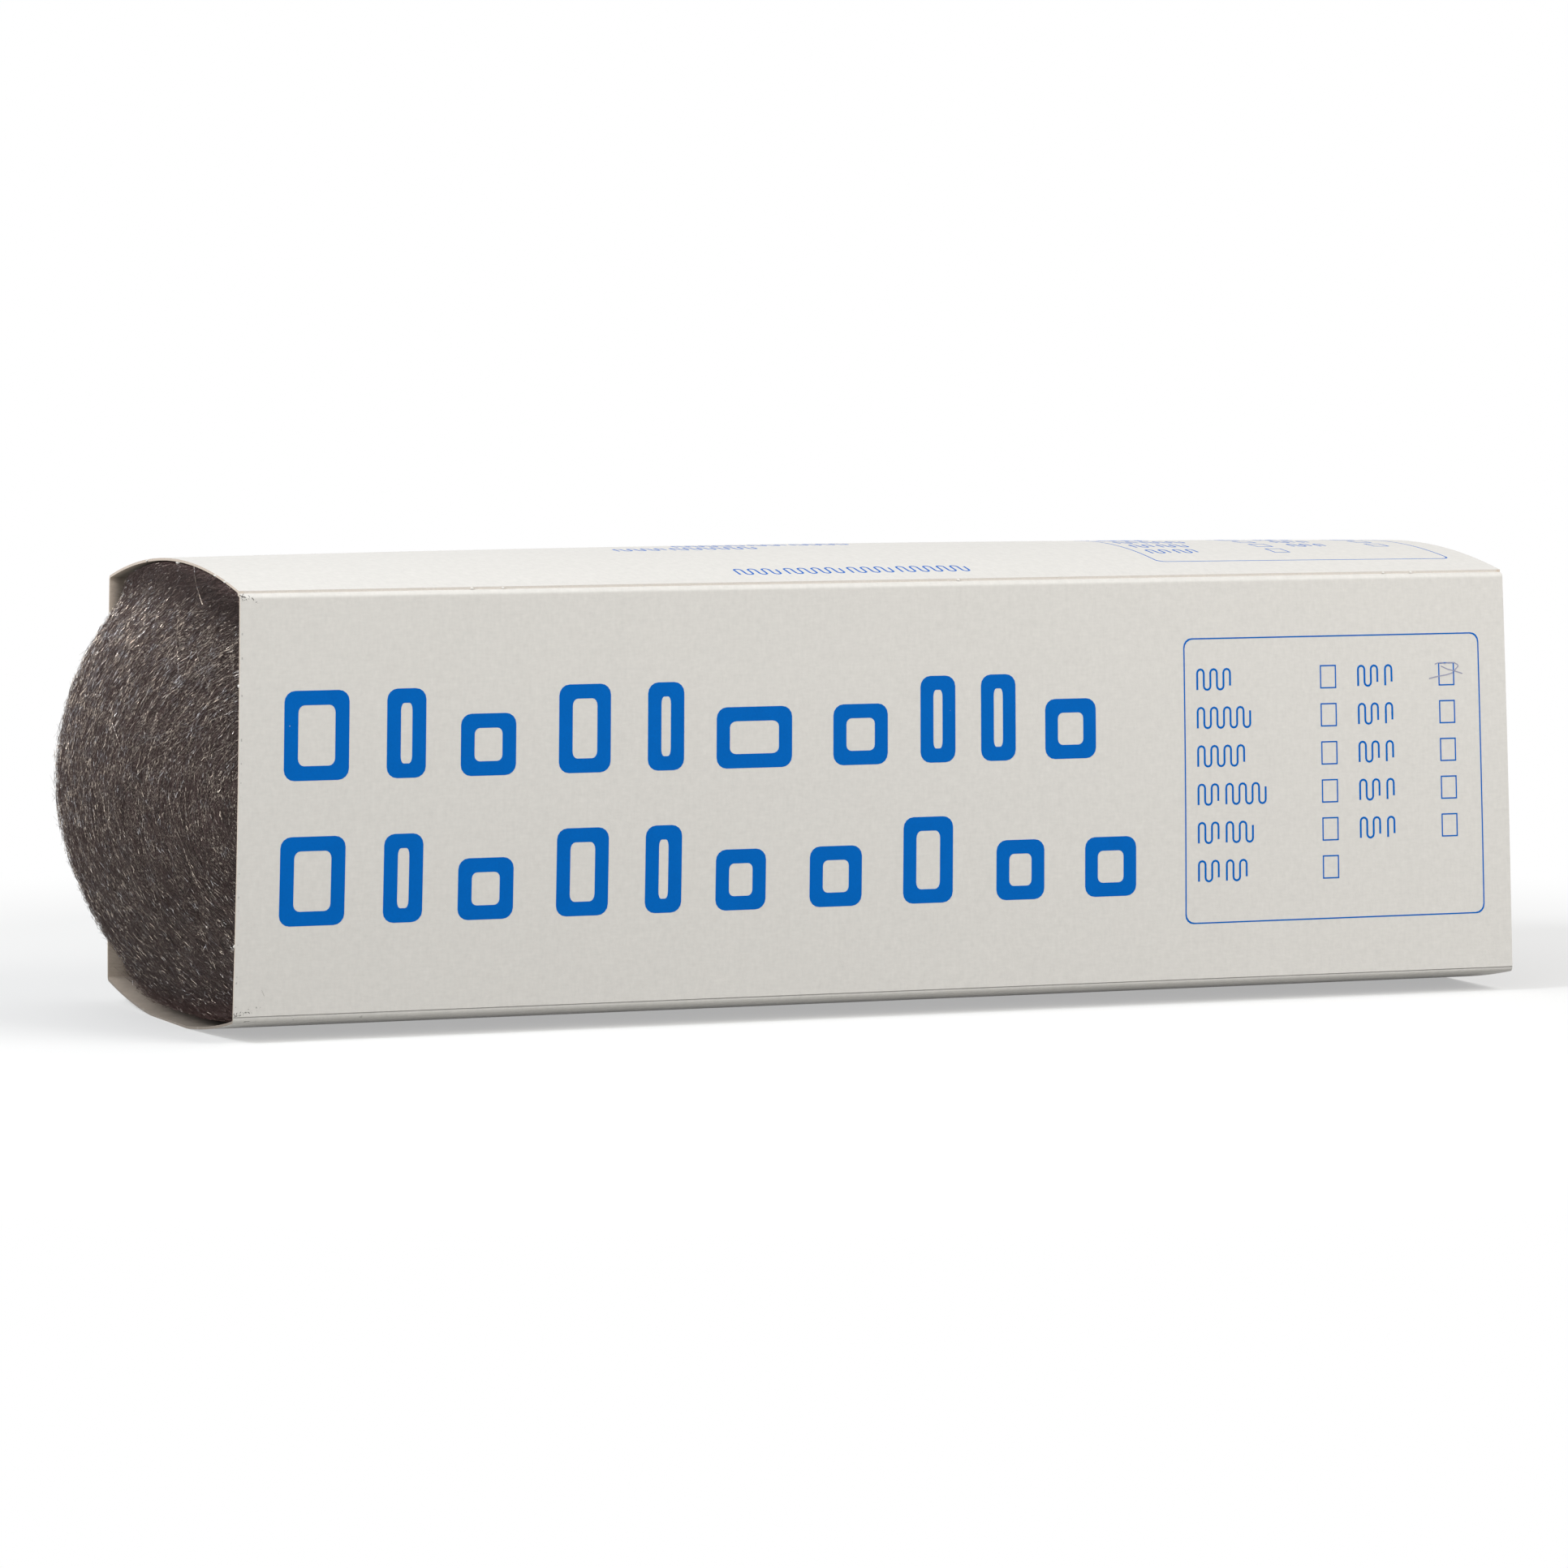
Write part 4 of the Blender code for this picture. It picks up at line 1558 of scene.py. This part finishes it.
class WOOLPACK_OT_wool(bpy.types.Operator):
    """Make the wound hank and the fibres on both of its ends"""

    bl_idname = "woolpack.wool"
    bl_label = "Make Wool"

    # Share of a full turn at which the fibres of each end start and stop
    ENDS = {"right": (0.015, 0.485), "left": (0.515, 0.985)}
    # Share of the strands that the flatter right end needs
    RIGHT_SHARE = 0.8

    # What each layer is made with, and what is added to its seed
    COLUMNS = ("Points", "Tip Lift", "Swing", "Curl", "Waves", "Brightness", "Rarity", "Seed")
    LAYERS = {
        "under": (3, 0.0016, 0.15, 0.0003, 1.0, 0.8, 4.5, 0),
        "over": (3, 0.0018, 0.24, 0.0003, 1.0, 1.0, 4.0, 40),
        "glints": (2, 0.0006, 0.3, 0.0, 1.0, 4.0, 3.5, 60),
        "loose": (14, 0.0022, 0.7, 0.0012, 1.3, 1.0, 1.2, 80),
    }
    # How much higher each layer lies than the lowest one, and how short the second one's are
    HIGHER = {"under": 1.0, "over": 1.9, "glints": 2.0, "loose": 1.8}
    OVER_LENGTH = 0.7
    END_SEED = 100

    def layer(self, wool, name, share):
        """Give one layer's inputs: share is how many of the strands this end needs."""
        strands = round(wool.strands * share)
        amount, length, width = {
            "under": (strands, wool.strand_length, wool.strand_width),
            "over": (strands, wool.strand_length * self.OVER_LENGTH, wool.strand_width),
            "glints": (round(wool.glints * share), wool.glint_length, wool.glint_width),
            "loose": (wool.loose_strands, wool.loose_length, wool.strand_width),
        }[name]
        return {
            **dict(zip(self.COLUMNS, self.LAYERS[name])), "Strands": amount,
            "Strand Length": length, "Strand Width": width, "Lift": wool.lift * self.HIGHER[name],
        }

    def execute(self, context):
        """Make the wool."""
        scene, pack = settings()
        wool = scene.wool_shape
        body = WoolMaker(pack).make(core_material(wool))
        steel = fibre_material(wool)
        fibres = FibreMaker(pack, body)
        for index, (end, (start, stop)) in enumerate(self.ENDS.items()):
            share = self.RIGHT_SHARE if end == "right" else 1.0
            for name in self.LAYERS:
                values = self.layer(wool, name, share)
                values["Seed"] += wool.seed + self.END_SEED * index
                values.update({"Turn Start": start, "Turn End": stop})
                settle(fibres.make(f"fibres_{end}_{name}", steel, values), STEEL_SLOT)
        settle(HangingStrand().make(pack, steel), STEEL_SLOT)
        settle(body, STEEL_SLOT, WOOL_NODE)
        return {"FINISHED"}


class WOOLPACK_OT_stage(bpy.types.Operator):
    """Make the camera, the lamps and the pale floor"""

    bl_idname = "woolpack.stage"
    bl_label = "Make Stage"

    FLOOR_RADIUS = 6.0
    FLOOR_CELLS = 96
    # How far from the middle the floor fades into the background
    FADE = (0.17, 0.42)
    # How much of the floor is plain white right under the pack, which softens its shadow
    PALE_SHADOW = 0.40
    SENSOR = 36.0
    # Each lamp's tint, size, place, and whether it looks at the pack's middle or its left end
    LAMPS = {
        "key": ("key_colour", 1.2, (-0.45, -0.10, 1.20), False),
        "fill": ("fill_colour", 0.8, (0.55, -0.80, 0.80), False),
        "rim": ("key_colour", 0.25, (-0.95, -0.20, 0.72), True),
        "low": ("fill_colour", 0.40, (-0.80, -0.42, 0.15), True),
    }

    def camera(self, scene, look, pack):
        """Put the camera where the photograph was taken from."""
        data = bpy.data.cameras.new("camera")
        data.sensor_width = self.SENSOR
        data.lens = look.lens
        camera = link_object("camera", data)
        camera.location = pack.beside(look.eye)
        camera.rotation_euler = (QUARTER_TURN - look.pitch, 0.0, -look.yaw)
        scene.camera = camera

    def seen(self, graph):
        """Give 1 on rays that show the background: from the camera, in gloss or through glass."""
        path = graph.node("ShaderNodeLightPath")
        return path["Is Camera Ray"].most(path["Is Glossy Ray"]).most(path["Is Transmission Ray"])

    def world(self, scene, look):
        """Light the room evenly, on a white background."""
        world, graph = node_shaded(bpy.data.worlds.new("room"))
        strength = look.world + (1.0 - look.world) * self.seen(graph)
        background = graph.node(
            "ShaderNodeBackground", {"Color": WHITE, "Strength": strength},
        )
        graph.node("ShaderNodeOutputWorld", {"Surface": background["Background"]})
        scene.world = world

    def floor(self, look):
        """Lay a round floor that fades into the white background."""
        mesh_data = bmesh.new()
        bmesh.ops.create_circle(
            mesh_data, cap_ends=True, segments=self.FLOOR_CELLS, radius=self.FLOOR_RADIUS,
        )
        material, graph = node_shaded(bpy.data.materials.new("floor"))
        coordinates = graph.node("ShaderNodeTexCoord")["Object"]
        inputs = {0: coordinates}
        distance = graph.node("ShaderNodeVectorMath", inputs, operation="LENGTH")["Value"]
        fade = graph.smooth(distance, *self.FADE).most(self.PALE_SHADOW) * self.seen(graph)
        shown = graph.mix_colour(self.seen(graph), look.floor_bounce, look.floor)
        pale = graph.node("ShaderNodeBsdfDiffuse", {"Color": shown})
        white = graph.node("ShaderNodeEmission", {"Color": WHITE, "Strength": 1.0})
        inputs = {0: fade, 1: pale["BSDF"], 2: white["Emission"]}
        surface = graph.node("ShaderNodeMixShader", inputs)
        graph.node("ShaderNodeOutputMaterial", {"Surface": surface["Shader"]})
        floor = link_mesh("floor", mesh_data, [material], smooth=False)

    def execute(self, context):
        """Make the stage."""
        scene, pack = settings()
        look = scene.stage_look
        self.camera(scene, look, pack)
        middle = Vector((0.0, 0.0, pack.shape.height / 2))
        end = middle - Vector((pack.shape.length / 2, 0.0, 0.0))
        for name, (tint, size, place, at_end) in self.LAMPS.items():
            data = bpy.data.lights.new(name, "AREA")
            data.energy = getattr(look, name)
            data.color = getattr(look, tint)[:3]
            data.size = size
            lamp = link_object(name, data)
            lamp.location = place
            way = (end if at_end else middle) - Vector(place)
            lamp.rotation_euler = way.to_track_quat("-Z", "Y").to_euler()
        self.world(scene, look)
        self.floor(look)
        scene.view_settings.view_transform = "Standard"
        return {"FINISHED"}


class WOOLPACK_PT_panel(bpy.types.Panel):
    """The pack's operators and settings"""

    bl_label = "Wool Pack"
    bl_idname = "WOOLPACK_PT_panel"
    bl_space_type = "VIEW_3D"
    bl_region_type = "UI"
    bl_category = "Wool Pack"

    def draw(self, context):
        """List the operators and the settings."""
        for operator in OPERATORS:
            self.layout.operator(operator.bl_idname)
        for name in SETTINGS:
            group = getattr(context.scene, name)
            box = self.layout.box()
            for key in group.__annotations__:
                box.prop(group, key)


OPERATORS = (WOOLPACK_OT_sleeve, WOOLPACK_OT_print, WOOLPACK_OT_wool, WOOLPACK_OT_stage)
SETTINGS = {
    "pack_shape": PackShape,
    "board_finish": BoardFinish,
    "print_finish": PrintFinish,
    "wool_shape": WoolShape,
    "stage_look": StageLook,
}


def register():
    """Register the classes and add the settings to the scene."""
    for item in (*SETTINGS.values(), *OPERATORS, WOOLPACK_PT_panel):
        bpy.utils.register_class(item)
    for name, group in SETTINGS.items():
        setattr(bpy.types.Scene, name, PointerProperty(type=group))


def unregister():
    """Remove the settings and the classes."""
    for name in SETTINGS:
        delattr(bpy.types.Scene, name)
    for item in (WOOLPACK_PT_panel, *reversed(OPERATORS), *SETTINGS.values()):
        bpy.utils.unregister_class(item)


def main():
    """Make the whole pack and its stage."""
    register()
    bpy.ops.woolpack.stage()
    bpy.ops.woolpack.sleeve()
    bpy.ops.woolpack.print()
    bpy.ops.woolpack.wool()


if __name__ == "__main__":
    main()
